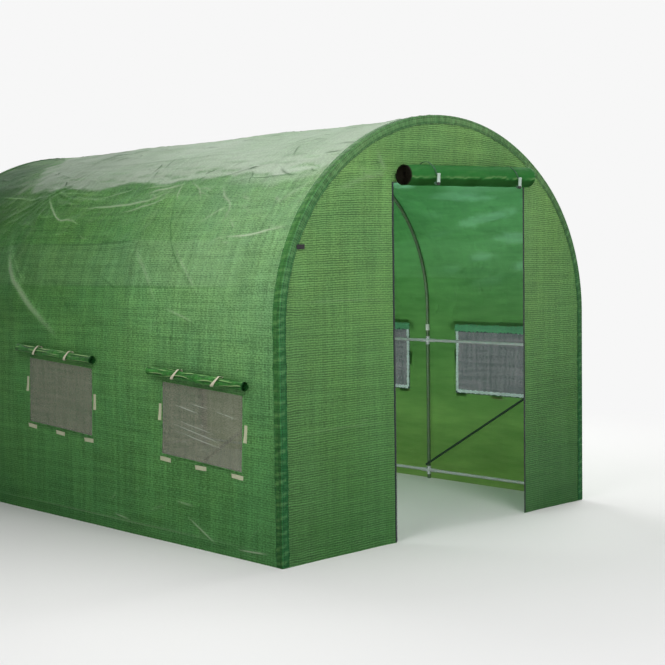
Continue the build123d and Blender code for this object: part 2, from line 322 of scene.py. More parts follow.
class SharedEffects:
    """The node groups that several finishes use, each built once."""

    def __init__(self) -> None:
        """Build the groups."""
        self.weave = self.woven_grid()
        self.crumple = self.crumpled_film()
        self.weather = self.weathering()

    @staticmethod
    def woven_grid() -> bpy.types.NodeTree:
        """The grid of threads inside the film: close ribs one way, fine threads the other.

        Returns:
            The group. Tone is lighter on a thread, about 0.5, and Height is its relief.
        """
        made, bench, entry, leave = started_group(
            "woven grid",
            {"Pattern": None, "Pitch": 0.0097, "Ribs": 0.5, "Threads": 0.3, "Uneven": 0.3, "Grain": 0.3},
            ("Tone", "Height"),
        )
        pattern = entry.outputs["Pattern"]
        split = bench.fill(bench.add("ShaderNodeSeparateXYZ"), Vector=pattern)
        lines = {}
        for name, axis in (("Threads", 0), ("Ribs", 1)):
            turns = bench.maths("DIVIDE", split.outputs[axis], entry.outputs["Pitch"])
            wave = bench.maths("COSINE", bench.maths("MULTIPLY", turns, 2 * math.pi))
            lines[name] = bench.maths("MULTIPLY", wave, entry.outputs[name])
        grid = bench.maths("ADD", lines["Ribs"], lines["Threads"])
        upright = bench.noise(bench.stretched(pattern, (1.0, 0.05, 1.0)), 42.0, 2.0)
        level = bench.noise(bench.stretched(pattern, (0.06, 1.0, 1.0)), 46.0, 2.0)
        streaks = bench.maths("SUBTRACT", bench.maths("ADD", upright, level), 1.0)
        patchy = bench.span(bench.noise(pattern, 9.0), (0.3, 0.7), (0.55, 1.25))
        wanted = bench.maths("MULTIPLY", grid, patchy)
        uneven = bench.maths("MULTIPLY", streaks, bench.maths("MULTIPLY", entry.outputs["Uneven"], 2.6))
        dashes = bench.noise(bench.stretched(pattern, (0.4, 1.0, 1.0)), 210.0, 1.0)
        grains = bench.maths("MULTIPLY", bench.maths("SUBTRACT", dashes, 0.5), entry.outputs["Grain"])
        uneven = bench.maths("MULTIPLY_ADD", grains, 3.0, uneven)
        tone = bench.maths("ADD", bench.maths("MULTIPLY_ADD", wanted, 0.5, 0.5), uneven, clamp=True)
        bench.feed(leave.inputs["Tone"], tone)
        bench.feed(leave.inputs["Height"], bench.maths("MULTIPLY_ADD", grid, 0.5, 0.5))
        return made

    @staticmethod
    def crumpled_film() -> bpy.types.NodeTree:
        """The small flat facets of stiff film that was folded, with creases between them.

        Returns:
            The group. Height is the relief from 0 to 1 and Edge is 1 on a crease.
        """
        made, bench, entry, leave = started_group(
            "crumpled film", {"Pattern": None, "Size": 0.06}, ("Height", "Edge")
        )
        wander = bench.fill(bench.add("ShaderNodeTexNoise"), Vector=entry.outputs["Pattern"], Scale=14.0)
        centred = bench.add("ShaderNodeVectorMath", operation="SUBTRACT")
        bench.feed(centred.inputs[0], wander.outputs["Color"])
        centred.inputs[1].default_value = (0.5, 0.5, 0.5)
        shifted = bench.add("ShaderNodeVectorMath", operation="MULTIPLY_ADD")
        bench.feed(shifted.inputs[0], centred.outputs[0])
        shifted.inputs[1].default_value = (0.09, 0.09, 0.0)
        bench.feed(shifted.inputs[2], entry.outputs["Pattern"])
        slanted = bench.fill(
            bench.add("ShaderNodeMapping"), Vector=shifted.outputs[0], Rotation=(0.0, 0.0, math.radians(24)),
            Scale=(1.0, 0.5, 1.0),
        )
        scale = bench.maths("DIVIDE", 1.0, entry.outputs["Size"])
        heights = []
        for finer in (1.0, 2.3):
            facets = bench.add("ShaderNodeTexVoronoi", feature="DISTANCE_TO_EDGE")
            bench.fill(facets, Vector=slanted.outputs[0], Scale=bench.maths("MULTIPLY", scale, finer))
            heights.append(facets.outputs["Distance"])
        both = bench.maths("MULTIPLY_ADD", heights[1], 0.6, heights[0])
        bench.feed(leave.inputs["Height"], bench.span(both, (0.0, 0.8), (0.0, 1.0)))
        bench.feed(leave.inputs["Edge"], bench.span(heights[0], (0.0, 0.06), (1.0, 0.0)))
        return made

    @staticmethod
    def weathering() -> bpy.types.NodeTree:
        """Broad clouds and small spots, as rain, dust and age leave them.

        Returns:
            The group. Cloud and Spot run from 0 to 1.
        """
        made, bench, entry, leave = started_group("weathering", {"Place": None}, ("Cloud", "Spot"))
        broad = bench.noise(entry.outputs["Place"], 2.3, 4.0)
        small = bench.noise(entry.outputs["Place"], 17.0, 3.0)
        both = bench.maths("MULTIPLY_ADD", small, 0.35, bench.maths("MULTIPLY", broad, 0.65))
        bench.feed(leave.inputs["Cloud"], bench.span(both, (0.36, 0.64), (0.0, 1.0)))
        fine = bench.noise(entry.outputs["Place"], 95.0, 2.0)
        bench.feed(leave.inputs["Spot"], bench.span(fine, (0.42, 0.68), (0.0, 1.0)))
        return made


effects = SharedEffects()


def started_material(name: str) -> tuple[bpy.types.Material, NodeBench, bpy.types.Node, bpy.types.Node]:
    """A material with only its main shader.

    Args:
        name: The material's name.

    Returns:
        The material, a bench to work on it, its Principled shader and its output.
    """
    made = bpy.data.materials.new(name)
    made.use_nodes = True
    made.node_tree.nodes.clear()
    bench = NodeBench(made.node_tree)
    shader = bench.add("ShaderNodeBsdfPrincipled")
    leave = bench.add("ShaderNodeOutputMaterial")
    bench.feed(leave.inputs["Surface"], shader.outputs[0])
    return made, bench, shader, leave


# The relief of the crumpled facets and of the threads, in metres.
FACET_RELIEF = 0.008
THREAD_RELIEF = 0.0012


@dataclass(frozen=True)
class FilmFinish:
    """Translucent green film with a grid of threads inside.

    Points of the piece may carry pale, from -1 to 1: below 0 it is painted shade, as in a fold, under a
    lapped edge or where the film lies in shade, and above 0 whitening with a painted highlight. They may
    also carry a share from 0 to 1 of painted sky sheen with some sun-bleaching, and one from 0 to 1 of
    painted shade deep inside a roll.
    """

    name: str
    # The colours at the foot and at the top: painted light and shade, lighter or darker with height as the
    # light falls.
    low: Colour
    high: Colour
    cool: Colour
    # The colour of the painted sky sheen over the roof, with some sun-bleaching.
    bleach_and_sheen_colour: Colour = paint(180, 196, 172)
    # The colour that pale above 0 mixes to: partly whitening of stretched film, partly a painted highlight.
    # The colour after it, which pale below 0 mixes to, is painted shade.
    stretched: Colour = paint(206, 224, 190)
    painted_shade_colour: Colour = paint(24, 66, 30)
    glow: Colour = paint(122, 190, 134)
    mottled: float = 0.3
    ribs: float = 0.5
    threads: float = 0.3
    uneven: float = 0.3
    grain: float = 0.3
    contrast: float = 0.35
    relief: float = 0.4
    crumple: Span = (0.1, 0.5)
    roughness: float = 0.42
    gloss: float = 0.3
    light_through: float = 0.38
    # The colour of the painted shade deep inside a roll.
    roll_shade_colour: Colour = paint(12, 16, 12)
    # When given, the colour of the light through the film at its foot: painted light that brightens the
    # lower part.
    painted_low_glow: Colour | None = None
    heights: Span = (0.05, 1.5)
    cloud_scale: tuple[float, float, float] = (1.0, 1.0, 1.0)

    def material(self) -> bpy.types.Material:
        """Build the film's nodes.

        Returns:
            The material.
        """
        made, bench, shader, leave = started_material(self.name)
        place = bench.place()
        pattern = bench.pattern()
        weave = bench.group(
            effects.weave, Pattern=pattern, Ribs=self.ribs, Threads=self.threads, Uneven=self.uneven,
            Grain=self.grain,
        )
        crumple = bench.group(effects.crumple, Pattern=pattern)
        weather = bench.group(effects.weather, Place=bench.stretched(place, self.cloud_scale))
        split = bench.fill(bench.add("ShaderNodeSeparateXYZ"), Vector=place)
        # Painted light and shade: the colour runs from the low one to the high one with height.
        rise = bench.span(split.outputs[2], self.heights, (0.0, 1.0))
        colour = bench.mix(rise, self.low, self.high)
        cloud = bench.maths("MULTIPLY", weather.outputs["Cloud"], 0.6)
        colour = bench.mix(cloud, colour, self.cool)
        # A share of painted sky sheen, with some sun-bleaching, that makes the film paler and calmer.
        bleach_and_sheen = bench.attribute("bleach_and_sheen")
        colour = bench.mix(bleach_and_sheen, colour, self.bleach_and_sheen_colour)
        calm = bench.maths("MULTIPLY_ADD", bleach_and_sheen, -0.7, 1.0)
        swing = bench.maths("MULTIPLY", bench.maths("SUBTRACT", weave.outputs["Tone"], 0.5), calm)
        crumpled = bench.span(split.outputs[2], (0.8, 1.45), self.crumple)
        crumpled = bench.maths("MULTIPLY", crumpled, bench.maths("MULTIPLY_ADD", bleach_and_sheen, -0.78, 1.0))
        worn = bench.maths("MULTIPLY", bench.maths("MULTIPLY", crumple.outputs["Edge"], crumpled), 0.16)
        swing = bench.maths("MULTIPLY_ADD", swing, 2 * self.contrast, 1.0)
        value = bench.add("ShaderNodeHueSaturation")
        bench.fill(value, Color=colour, Value=bench.maths("ADD", swing, worn))
        # Pale above 0 lightens the film as whitening with a painted highlight; below 0 it darkens it with
        # painted shade.
        pale = bench.attribute("pale")
        colour = bench.mix(bench.maths("MAXIMUM", pale, 0.0, clamp=True), value.outputs[0], self.stretched)
        dark = bench.maths("MULTIPLY", pale, -1.0, clamp=True)
        colour = bench.mix(dark, colour, self.painted_shade_colour)
        # Painted shade deep inside a roll.
        roll_shade = bench.attribute("roll_shade")
        rough = bench.maths("MULTIPLY_ADD", weather.outputs["Spot"], 0.12, self.roughness)
        facets = bench.bump(crumple.outputs["Height"], crumpled, FACET_RELIEF)
        threads = bench.bump(weave.outputs["Height"], self.relief, THREAD_RELIEF, Normal=facets)
        bench.fill(
            shader, Base_Color=bench.mix(roll_shade, colour, self.roll_shade_colour), Roughness=rough,
            Specular_IOR_Level=self.gloss, Normal=threads,
        )
        # Painted light: the light through the film is brighter at its foot when a colour is given for it.
        shown = bench.mix(rise, self.painted_low_glow or self.glow, self.glow)
        shown = bench.mix(bench.maths("MULTIPLY", cloud, self.mottled / 0.6), shown, self.cool)
        # The painted sky sheen also makes the light through the film paler.
        shown = bench.mix(bench.maths("MULTIPLY", bleach_and_sheen, 0.6), shown, self.bleach_and_sheen_colour)
        shown = bench.mix(roll_shade, shown, self.roll_shade_colour)
        shown = bench.mix(0.3, shown, value.outputs[0], blend="MULTIPLY")
        glow = bench.fill(bench.add("ShaderNodeBsdfTranslucent"), Color=shown, Normal=threads)
        both = bench.two_shaders(self.light_through, shader.outputs[0], glow.outputs[0])
        bench.feed(leave.inputs["Surface"], both)
        return made


@dataclass(frozen=True)
class NettingFinish:
    """Fine insect netting that lets part of what lies behind it show."""

    name: str
    thread: Colour
    shade: Colour
    stretched: Colour = paint(190, 196, 186)
    cover_share: float = 0.58
    cover_swing: float = 0.14
    pitch: float = 0.0028

    def material(self) -> bpy.types.Material:
        """Build the netting's nodes.

        Returns:
            The material.
        """
        made, bench, shader, _ = started_material(self.name)
        weave = bench.group(
            effects.weave, Pattern=bench.pattern(), Pitch=self.pitch, Ribs=0.4, Threads=0.5, Uneven=0.25
        )
        weather = bench.group(effects.weather, Place=bench.place())
        colour = bench.mix(weave.outputs["Tone"], self.shade, self.thread)
        colour = bench.mix(bench.maths("MULTIPLY", weather.outputs["Cloud"], 0.25), colour, self.shade)
        pale = bench.attribute("pale")
        colour = bench.mix(bench.maths("MAXIMUM", pale, 0.0, clamp=True), colour, self.stretched)
        cover = (self.cover_share - self.cover_swing, self.cover_share + self.cover_swing)
        holes = bench.span(weave.outputs["Tone"], (0.2, 0.8), cover)
        bench.fill(
            shader, Base_Color=colour, Roughness=0.75, Specular_IOR_Level=0.25,
            Alpha=bench.maths("MAXIMUM", holes, pale, clamp=True),
            Normal=bench.bump(weave.outputs["Height"], 0.3, 0.0005),
        )
        return made


@dataclass(frozen=True)
class TubeFinish:
    """Steel tube: zinc with its faint spangle, or a coat of paint with worn spots."""

    name: str
    colour: Colour
    stain: Colour
    metal: float
    roughness: float

    def material(self) -> bpy.types.Material:
        """Build the tube's nodes.

        Returns:
            The material.
        """
        made, bench, shader, _ = started_material(self.name)
        place = bench.place()
        weather = bench.group(effects.weather, Place=place)
        spangle = bench.fill(bench.add("ShaderNodeTexVoronoi"), Vector=place, Scale=140.0)
        facet = bench.fill(bench.add("ShaderNodeSeparateColor"), Color=spangle.outputs["Color"])
        stain = bench.maths("MULTIPLY", weather.outputs["Cloud"], 0.45)
        colour = bench.mix(stain, self.colour, self.stain)
        bench.fill(
            shader, Base_Color=bench.mix(0.14, colour, spangle.outputs["Color"], blend="SOFT_LIGHT"),
            Roughness=bench.maths("MULTIPLY_ADD", facet.outputs[0], 0.14, self.roughness),
            Metallic=self.metal, Normal=bench.bump(weather.outputs["Spot"], 0.06, 0.0004),
        )
        return made


@dataclass(frozen=True)
class PlasticFinish:
    """Moulded plastic with a slight grain and a little dirt in its hollows."""

    name: str
    colour: Colour
    dirt: Colour
    roughness: float

    def material(self) -> bpy.types.Material:
        """Build the plastic's nodes.

        Returns:
            The material.
        """
        made, bench, shader, _ = started_material(self.name)
        weather = bench.group(effects.weather, Place=bench.place())
        dirt = bench.maths("MULTIPLY", weather.outputs["Cloud"], 0.35)
        bench.fill(
            shader, Base_Color=bench.mix(dirt, self.colour, self.dirt),
            Roughness=bench.maths("MULTIPLY_ADD", weather.outputs["Spot"], 0.15, self.roughness),
            Normal=bench.bump(weather.outputs["Spot"], 0.12, 0.0003),
        )
        return made


@dataclass(frozen=True)
class TapeFinish:
    """Woven tape, ribbon, cord or thread."""

    name: str
    colour: Colour
    shade: Colour
    pitch: float = 0.002
    roughness: float = 0.8

    def material(self) -> bpy.types.Material:
        """Build the tape's nodes.

        Returns:
            The material.
        """
        made, bench, shader, _ = started_material(self.name)
        place = bench.place()
        threads = bench.noise(place, 1 / self.pitch, 1.0)
        weather = bench.group(effects.weather, Place=place)
        colour = bench.mix(bench.span(threads, (0.3, 0.7), (0.0, 0.7)), self.colour, self.shade)
        colour = bench.mix(bench.maths("MULTIPLY", weather.outputs["Cloud"], 0.3), colour, self.shade)
        bench.fill(
            shader, Base_Color=colour, Roughness=self.roughness, Sheen_Weight=0.05,
            Normal=bench.bump(threads, 0.4, 0.0005),
        )
        return made


class Finishes:
    """Every finish of the tunnel, made into a material once."""

    def __init__(self) -> None:
        """Build the materials."""
        lining = paint(206, 238, 212)
        hem = {
            "ribs": 0.3, "threads": 0.5, "uneven": 0.4, "grain": 0.4, "contrast": 0.4, "relief": 0.5,
            "crumple": (0.3, 0.3), "roughness": 0.5, "gloss": 0.08, "light_through": 0.12,
        }
        rolled = {"ribs": 0.2, "threads": 0.1, "relief": 0.2, "light_through": 0.06}
        self.side_film = FilmFinish(
            "side film", low=paint(88, 142, 82), high=paint(122, 174, 98), cool=paint(86, 144, 90),
            ribs=0.4, threads=0.4, uneven=0.32, grain=0.66, contrast=0.56, crumple=(0.14, 0.6),
            roughness=0.46, gloss=0.015, bleach_and_sheen_colour=paint(204, 219, 197), painted_low_glow=paint(146, 200, 128),
        ).material()
        self.side_lining = FilmFinish(
            "side film inside", low=paint(96, 140, 84), high=paint(84, 142, 84), cool=paint(60, 122, 66),
            ribs=0.3, threads=0.3, grain=0.3, contrast=0.2, crumple=(0.1, 0.3), light_through=0.82,
            bleach_and_sheen_colour=paint(176, 222, 214), stretched=paint(150, 196, 150), glow=lining, mottled=0.42,
            cloud_scale=(1.0, 0.3, 1.7), painted_low_glow=paint(255, 238, 204),
        ).material()
        self.end_film = FilmFinish(
            "end film", low=paint(68, 118, 58), high=paint(128, 172, 98), cool=paint(98, 150, 90),
            ribs=0.8, threads=0.18, uneven=0.22, grain=0.5, contrast=0.6, relief=0.5, crumple=(0.04, 0.06),
            roughness=0.5,
        ).material()
        self.end_lining = FilmFinish(
            "end film inside", low=paint(80, 130, 80), high=paint(88, 144, 84), cool=paint(66, 120, 70),
            ribs=0.6, threads=0.25, contrast=0.25, crumple=(0.05, 0.05), roughness=0.5, light_through=0.8,
            glow=lining,
        ).material()
        self.hem_film = FilmFinish(
            "hem film", low=paint(38, 84, 40), high=paint(64, 112, 54), cool=paint(38, 86, 42),
            stretched=paint(112, 160, 92), **hem,
        ).material()
        self.hem_return = FilmFinish(
            "hem film on the end", low=paint(36, 92, 50), high=paint(100, 134, 86), cool=paint(42, 102, 56),
            heights=(0.5, 1.75), stretched=paint(120, 176, 112), **hem,
        ).material()
        self.roll_film = FilmFinish(
            "rolled door film", low=paint(52, 116, 55), high=paint(52, 116, 55), cool=paint(42, 104, 50),
            uneven=0.25, grain=0.15, contrast=0.16, crumple=(0.1, 0.1), roughness=0.6, gloss=0.02,
            stretched=paint(110, 150, 92), painted_shade_colour=paint(30, 74, 28), roll_shade_colour=paint(34, 32, 25),
            **rolled,
        ).material()
        self.flap_film = FilmFinish(
            "rolled window film", low=paint(60, 120, 52), high=paint(60, 120, 52), cool=paint(38, 96, 40),
            uneven=0.6, grain=0.4, contrast=0.5, crumple=(0.5, 0.5), roughness=0.4, gloss=0.08,
            stretched=paint(162, 192, 132), painted_shade_colour=paint(14, 50, 16), roll_shade_colour=paint(24, 70, 30),
            **rolled,
        ).material()
        self.seam_film = FilmFinish(
            "window seam film", low=paint(122, 196, 152), high=paint(122, 196, 152),
            cool=paint(90, 166, 124), ribs=0.2, threads=0.2, grain=0.3, contrast=0.3, roughness=0.4,
            light_through=0.3, glow=paint(190, 236, 206),
        ).material()
        self.netting = NettingFinish("insect netting", paint(152, 152, 134), paint(106, 108, 96)).material()
        # A darker, bluer copy of the netting for the row seen from inside against the light: painted shade.
        self.shaded_netting = NettingFinish(
            "shaded insect netting", paint(90, 112, 110), paint(62, 82, 84), cover_share=0.72
        ).material()
        # The galvanised tubes come in two copies: a pale one, and a darker, greener one with painted shade
        # and painted green reflections of the film round it, for the hoops, their joints and the upper
        # rails.
        self.zinc, self.dull_zinc, self.green_tube, self.screw_steel = (
            TubeFinish(name, colour, stain, metal, roughness).material()
            for name, colour, stain, metal, roughness in (
                ("zinc rail", paint(208, 212, 216), paint(172, 178, 178), 0.25, 0.4),
                ("zinc hoop", paint(106, 130, 100), paint(62, 84, 62), 0.35, 0.36),
                ("green tube", paint(38, 62, 50), paint(28, 44, 36), 0.1, 0.38),
                ("screw steel", paint(150, 152, 152), paint(110, 106, 98), 0.9, 0.3),
            )
        )
        self.joint_plastic, self.toggle_plastic, self.black_plastic = (
            PlasticFinish(name, colour, dirt, roughness).material()
            for name, colour, dirt, roughness in (
                ("joint plastic", paint(222, 226, 222), paint(170, 176, 164), 0.45),
                ("toggle plastic", paint(166, 186, 174), paint(126, 142, 128), 0.45),
                ("black plastic", paint(26, 27, 28), paint(48, 48, 44), 0.4),
            )
        )
        self.ribbon = TapeFinish("tie ribbon", paint(216, 213, 188), paint(176, 170, 142)).material()
        self.hook_strip = TapeFinish("hook strip", paint(190, 192, 162), paint(150, 156, 124)).material()
        self.edge_tape = FilmFinish(
            "netting edge tape", low=paint(232, 246, 246), high=paint(232, 246, 246),
            cool=paint(200, 226, 222), ribs=0.2, threads=0.2, grain=0.3, contrast=0.2, roughness=0.5,
            light_through=0.22, glow=paint(244, 252, 250),
        ).material()
        self.zip_tape = TapeFinish("zip tape", paint(22, 30, 40), paint(12, 16, 22)).material()
        self.webbing = TapeFinish("black webbing", paint(20, 22, 22), paint(8, 9, 10)).material()
        self.cord = TapeFinish("door cord", paint(70, 112, 84), paint(30, 60, 42)).material()
        self.dark_thread = TapeFinish("dark thread", paint(20, 62, 34), paint(12, 40, 22)).material()
        self.bright_thread = TapeFinish("bright thread", paint(46, 124, 66), paint(28, 96, 48)).material()


def settle(piece: bpy.types.Object, replaced: Sequence[str] = ()) -> None:
    """Let a finished piece ride with the tunnel, and hide the nodes that it stands for.

    Args:
        piece: The piece.
        replaced: The nodes that it stands for.
    """
    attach(piece, ROOT)
    if replaced:
        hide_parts(*replaced)
    log.info("%s: %d faces", piece.name, len(piece.data.polygons))


def mesh_piece(
    name: str,
    points: np.ndarray,
    faces: np.ndarray,
    materials: Sequence[bpy.types.Material],
    pattern: np.ndarray | None = None,
    values: dict[str, np.ndarray] | None = None,
) -> bpy.types.Object:
    """A smooth piece from points and faces.

    Args:
        name: The piece's name.
        points: Its points, one row each.
        faces: Its faces, each a row of as many indices.
        materials: Its material slots.
        pattern: Each point's place on the flat pattern.
        values: Named values at each point.

    Returns:
        The object, at the origin.
    """
    mesh = bpy.data.meshes.new(name)
    mesh.from_pydata(points.tolist(), [], faces.tolist())
    for material in materials:
        mesh.materials.append(material)
    if pattern is not None:
        layer = mesh.uv_layers.new(name="pattern")
        layer.data.foreach_set("uv", pattern[faces.ravel()].astype(np.float32).ravel())
    for attribute, numbers in (values or {}).items():
        kept = mesh.attributes.new(attribute, "FLOAT", "POINT")
        kept.data.foreach_set("value", numbers.astype(np.float32))
    mesh.shade_smooth()
    made = bpy.data.objects.new(name, mesh)
    bpy.context.scene.collection.objects.link(made)
    return made


def take_up(piece: bpy.types.Object) -> None:
    """Make one piece the only one selected, and the active one."""
    bpy.ops.object.select_all(action="DESELECT")
    piece.select_set(True)
    bpy.context.view_layer.objects.active = piece


def thicken(piece: bpy.types.Object, thickness: float, lining: int = 0, outwards: bool = False) -> None:
    """Give a sheet its thickness and keep its edges crisp.

    Args:
        piece: The sheet, its faces pointing outwards.
        thickness: The film's thickness.
        lining: The material slot of the inner side, counted from the outer one's.
        outwards: Whether the thickness grows outwards, where otherwise it grows inwards.
    """
    take_up(piece)
    modifier = piece.modifiers.new("thickness", "SOLIDIFY")
    modifier.thickness = thickness
    modifier.offset = 1.0 if outwards else -1.0
    modifier.material_offset = lining
    bpy.ops.object.modifier_apply(modifier=modifier.name)
    bpy.ops.object.shade_smooth_by_angle(angle=math.radians(60))


def walked_round(loop: np.ndarray, spacing: float) -> np.ndarray:
    """Points round a closed outline.

    Args:
        loop: The outline's corners, one row each.
        spacing: The usual distance between two points.

    Returns:
        The points, one row each, with every corner among them.
    """
    points = []
    for start, end in zip(loop, np.roll(loop, -1, 0)):
        steps = max(1, round(float(np.linalg.norm(end - start)) / spacing))
        points.append(start + (end - start) * (np.arange(steps) / steps)[:, None])
    return np.vstack(points)


def standing(x_axis: Sequence[float], y_axis: Sequence[float], z_axis: Sequence[float]) -> Matrix:
    """The turn that brings a model's own axes to these directions."""
    return Matrix((x_axis, y_axis, z_axis)).transposed().to_4x4()


def grid_faces(rows: int, columns: int) -> np.ndarray:
    """The quads between the points of a grid, counted row by row.

    Args:
        rows: Points one way.
        columns: Points the other way.

    Returns:
        The quads' indices.
    """
    return quads_of(np.arange(rows * columns).reshape(rows, columns))


def quads_of(index: np.ndarray) -> np.ndarray:
    """The quads between the points whose indices stand in this grid."""
    corners = (index[:-1, :-1], index[1:, :-1], index[1:, 1:], index[:-1, 1:])
    return np.stack([corner.ravel() for corner in corners], 1)


def facing(
    points: np.ndarray, faces: np.ndarray, outward: np.ndarray | tuple[float, float, float]
) -> np.ndarray:
    """The faces, turned round if they point against the way out.

    Args:
        points: The piece's points.
        faces: Its faces.
        outward: The way out at each point, or one for them all.

    Returns:
        The faces, all of them turned round or none.
    """
    a, b, c = (points[faces[:, i]] for i in range(3))
    agree = (np.cross(b - a, c - a) * np.broadcast_to(outward, points.shape)[faces[:, 0]]).sum()
    return faces if agree > 0 else faces[:, ::-1]


def joined(patches: Sequence[tuple[np.ndarray, ...]]) -> tuple[np.ndarray, ...]:
    """Several patches as one.

    Args:
        patches: Each patch's points and faces, and any further rows for its points.

    Returns:
        The points, the faces and the further rows of them all.
    """
    starts = np.cumsum([0, *(len(patch[0]) for patch in patches[:-1])])
    points, faces, *rest = zip(*patches)
    faces = [part + start for part, start in zip(faces, starts)]
    return tuple(np.vstack(rows) for rows in (points, faces, *rest))


def started_box(size: tuple[float, float, float], y: float = 0.0) -> bpy.types.Object:
    """Add a box to model from.

    Args:
        size: Its size along each axis.
        y: Its middle along Y. The other two are 0.

    Returns:
        The box, as the active object.
    """
    bpy.ops.object.select_all(action="DESELECT")
    bpy.ops.mesh.primitive_cube_add(size=1, location=(0, y, 0))
    made = bpy.context.object
    made.scale = size
    bpy.ops.object.transform_apply(location=True, scale=True)
    return made


def pick(model: bpy.types.Object, wanted: Callable[[bpy.types.MeshPolygon], bool]) -> None:
    """Go into edit mode with only these faces selected.

    Args:
        model: The active object.
        wanted: Tells whether a face is selected.
    """
    bpy.ops.object.mode_set(mode="EDIT")
    bpy.ops.mesh.select_mode(type="FACE")
    bpy.ops.mesh.select_all(action="DESELECT")
    bpy.ops.object.mode_set(mode="OBJECT")
    for face in model.data.polygons:
        face.select = wanted(face)
    bpy.ops.object.mode_set(mode="EDIT")


def edit_all(step: Callable[..., object], **settings: object) -> None:
    """Take one modelling step on the whole of the active object.

    Args:
        step: The step.
        settings: Its settings.
    """
    bpy.ops.object.mode_set(mode="EDIT")
    bpy.ops.mesh.select_all(action="SELECT")
    step(**settings)
    bpy.ops.object.mode_set(mode="OBJECT")


def push_out(way: float) -> None:
    """Extrude the selected faces along Z."""
    bpy.ops.mesh.extrude_region_move(TRANSFORM_OT_translate={"value": (0, 0, way)})


def bevelled(model: bpy.types.Object, width: float, segments: int, angle: float) -> None:
    """Round a model's edges and shade it smooth.

    Args:
        model: The model.
        width: The bevel's width.
        segments: Its segments.
        angle: The sharpest angle that is shaded smooth, in degrees.
    """
    take_up(model)
    modifier = model.modifiers.new("edges", "BEVEL")
    modifier.width = width
    modifier.segments = segments
    bpy.ops.object.modifier_apply(modifier=modifier.name)
    bpy.ops.object.shade_smooth_by_angle(angle=math.radians(angle))


def copied(model: bpy.types.Object, name: str, places: Sequence[Matrix]) -> bpy.types.Object:
    """Set down copies of a small model and join them as one piece. The model is removed.

    Args:
        model: The object that was modelled once.
        name: The new piece's name.
        places: Where each copy stands.

    Returns:
        The joined piece, at the origin.
    """
    source = model.data
    points = np.array([vertex.co for vertex in source.vertices])
    polygons = [list(polygon.vertices) for polygon in source.polygons]
    slots = [polygon.material_index for polygon in source.polygons]
    smooth = [polygon.use_smooth for polygon in source.polygons]
    all_points = []
    all_faces = []
    for index, place in enumerate(places):
        turn = np.array(place.to_3x3())
        all_points.append(points @ turn.T + np.array(place.translation))
        start = index * len(points)
        all_faces += [[start + corner for corner in face] for face in polygons]
    mesh = bpy.data.meshes.new(name)
    mesh.from_pydata(np.vstack(all_points).tolist(), [], all_faces)
    for material in source.materials:
        mesh.materials.append(material)
    mesh.polygons.foreach_set("material_index", slots * len(places))
    mesh.polygons.foreach_set("use_smooth", smooth * len(places))
    made = bpy.data.objects.new(name, mesh)
    bpy.context.scene.collection.objects.link(made)
    bpy.data.objects.remove(model)
    return made


@dataclass(frozen=True)
class ArchShape:
    """The tunnel's section over the cover: an upright wall, a haunch arc and a crown arc."""

    half_width: float
    spring_height: float
    ridge_height: float
    shoulder: float = math.radians(49)
    rail_angle: float = math.radians(54)

    @property
    def haunch_radius(self) -> float:
        """The radius of the arc that leaves the wall, such that the crown arc ends level at the ridge."""
        flattening = (1 - math.sin(self.shoulder)) / math.cos(self.shoulder)
        rise = self.ridge_height - self.spring_height
        return (rise - self.half_width * flattening) / (1 - flattening)

    @property
    def haunch_x(self) -> float:
        """How far out the haunch arc's centre lies."""
        return self.half_width - self.haunch_radius

    @property
    def crown_radius(self) -> float:
        """The radius of the arc over the middle."""
        return self.ridge_height - self.crown_z

    @property
    def crown_z(self) -> float:
        """The height of the crown arc's centre."""
        return self.spring_height - self.haunch_x * math.tan(self.shoulder)

    @property
    def shoulder_up(self) -> float:
        """The way up over the film to where the two arcs meet."""
        return self.spring_height + self.haunch_radius * self.shoulder

    @property
    def shoulder_rail_up(self) -> float:
        """The way up over the film to the shoulder rail, a little above that line."""
        return self.shoulder_up + self.crown_radius * (self.rail_angle - self.shoulder)

    @property
    def ridge_up(self) -> float:
        """The way up over the film to the ridge."""
        return self.shoulder_up + self.crown_radius * (math.pi / 2 - self.shoulder)

    def section(self, up: np.ndarray) -> tuple[np.ndarray, np.ndarray]:
        """Places on the right half of the section, and the way out from each.

        Args:
            up: The way up over the film from the ground.

        Returns:
            The places and the outward directions, each as rows of X and Z.
        """
        up = np.asarray(up, float)
        haunch = np.clip(up - self.spring_height, 0, None) / self.haunch_radius
        crown = self.shoulder + np.clip(up - self.shoulder_up, 0, None) / self.crown_radius
        on_crown = up > self.shoulder_up
        turn = np.where(on_crown, crown, haunch)
        outward = np.column_stack([np.cos(turn), np.sin(turn)])
        radius = np.where(on_crown, self.crown_radius, self.haunch_radius)[:, None]
        centre = np.where(on_crown[:, None], (0, self.crown_z), (self.haunch_x, self.spring_height))
        places = centre + radius * outward
        on_wall = up < self.spring_height
        places[on_wall] = np.column_stack([np.full(on_wall.sum(), self.half_width), up[on_wall]])
        return places, outward

    def depth(self, x: np.ndarray, z: np.ndarray) -> np.ndarray:
        """How far inside the arch each place lies, with no regard to the ground."""
        across = np.abs(x)
        turn = np.arctan2(z - self.crown_z, across)
        crown = self.crown_radius - np.hypot(across, z - self.crown_z)
        haunch = self.haunch_radius - np.hypot(across - self.haunch_x, z - self.spring_height)
        above = np.where(turn > self.shoulder, crown, haunch)
        return np.where(z < self.spring_height, self.half_width - across, above)


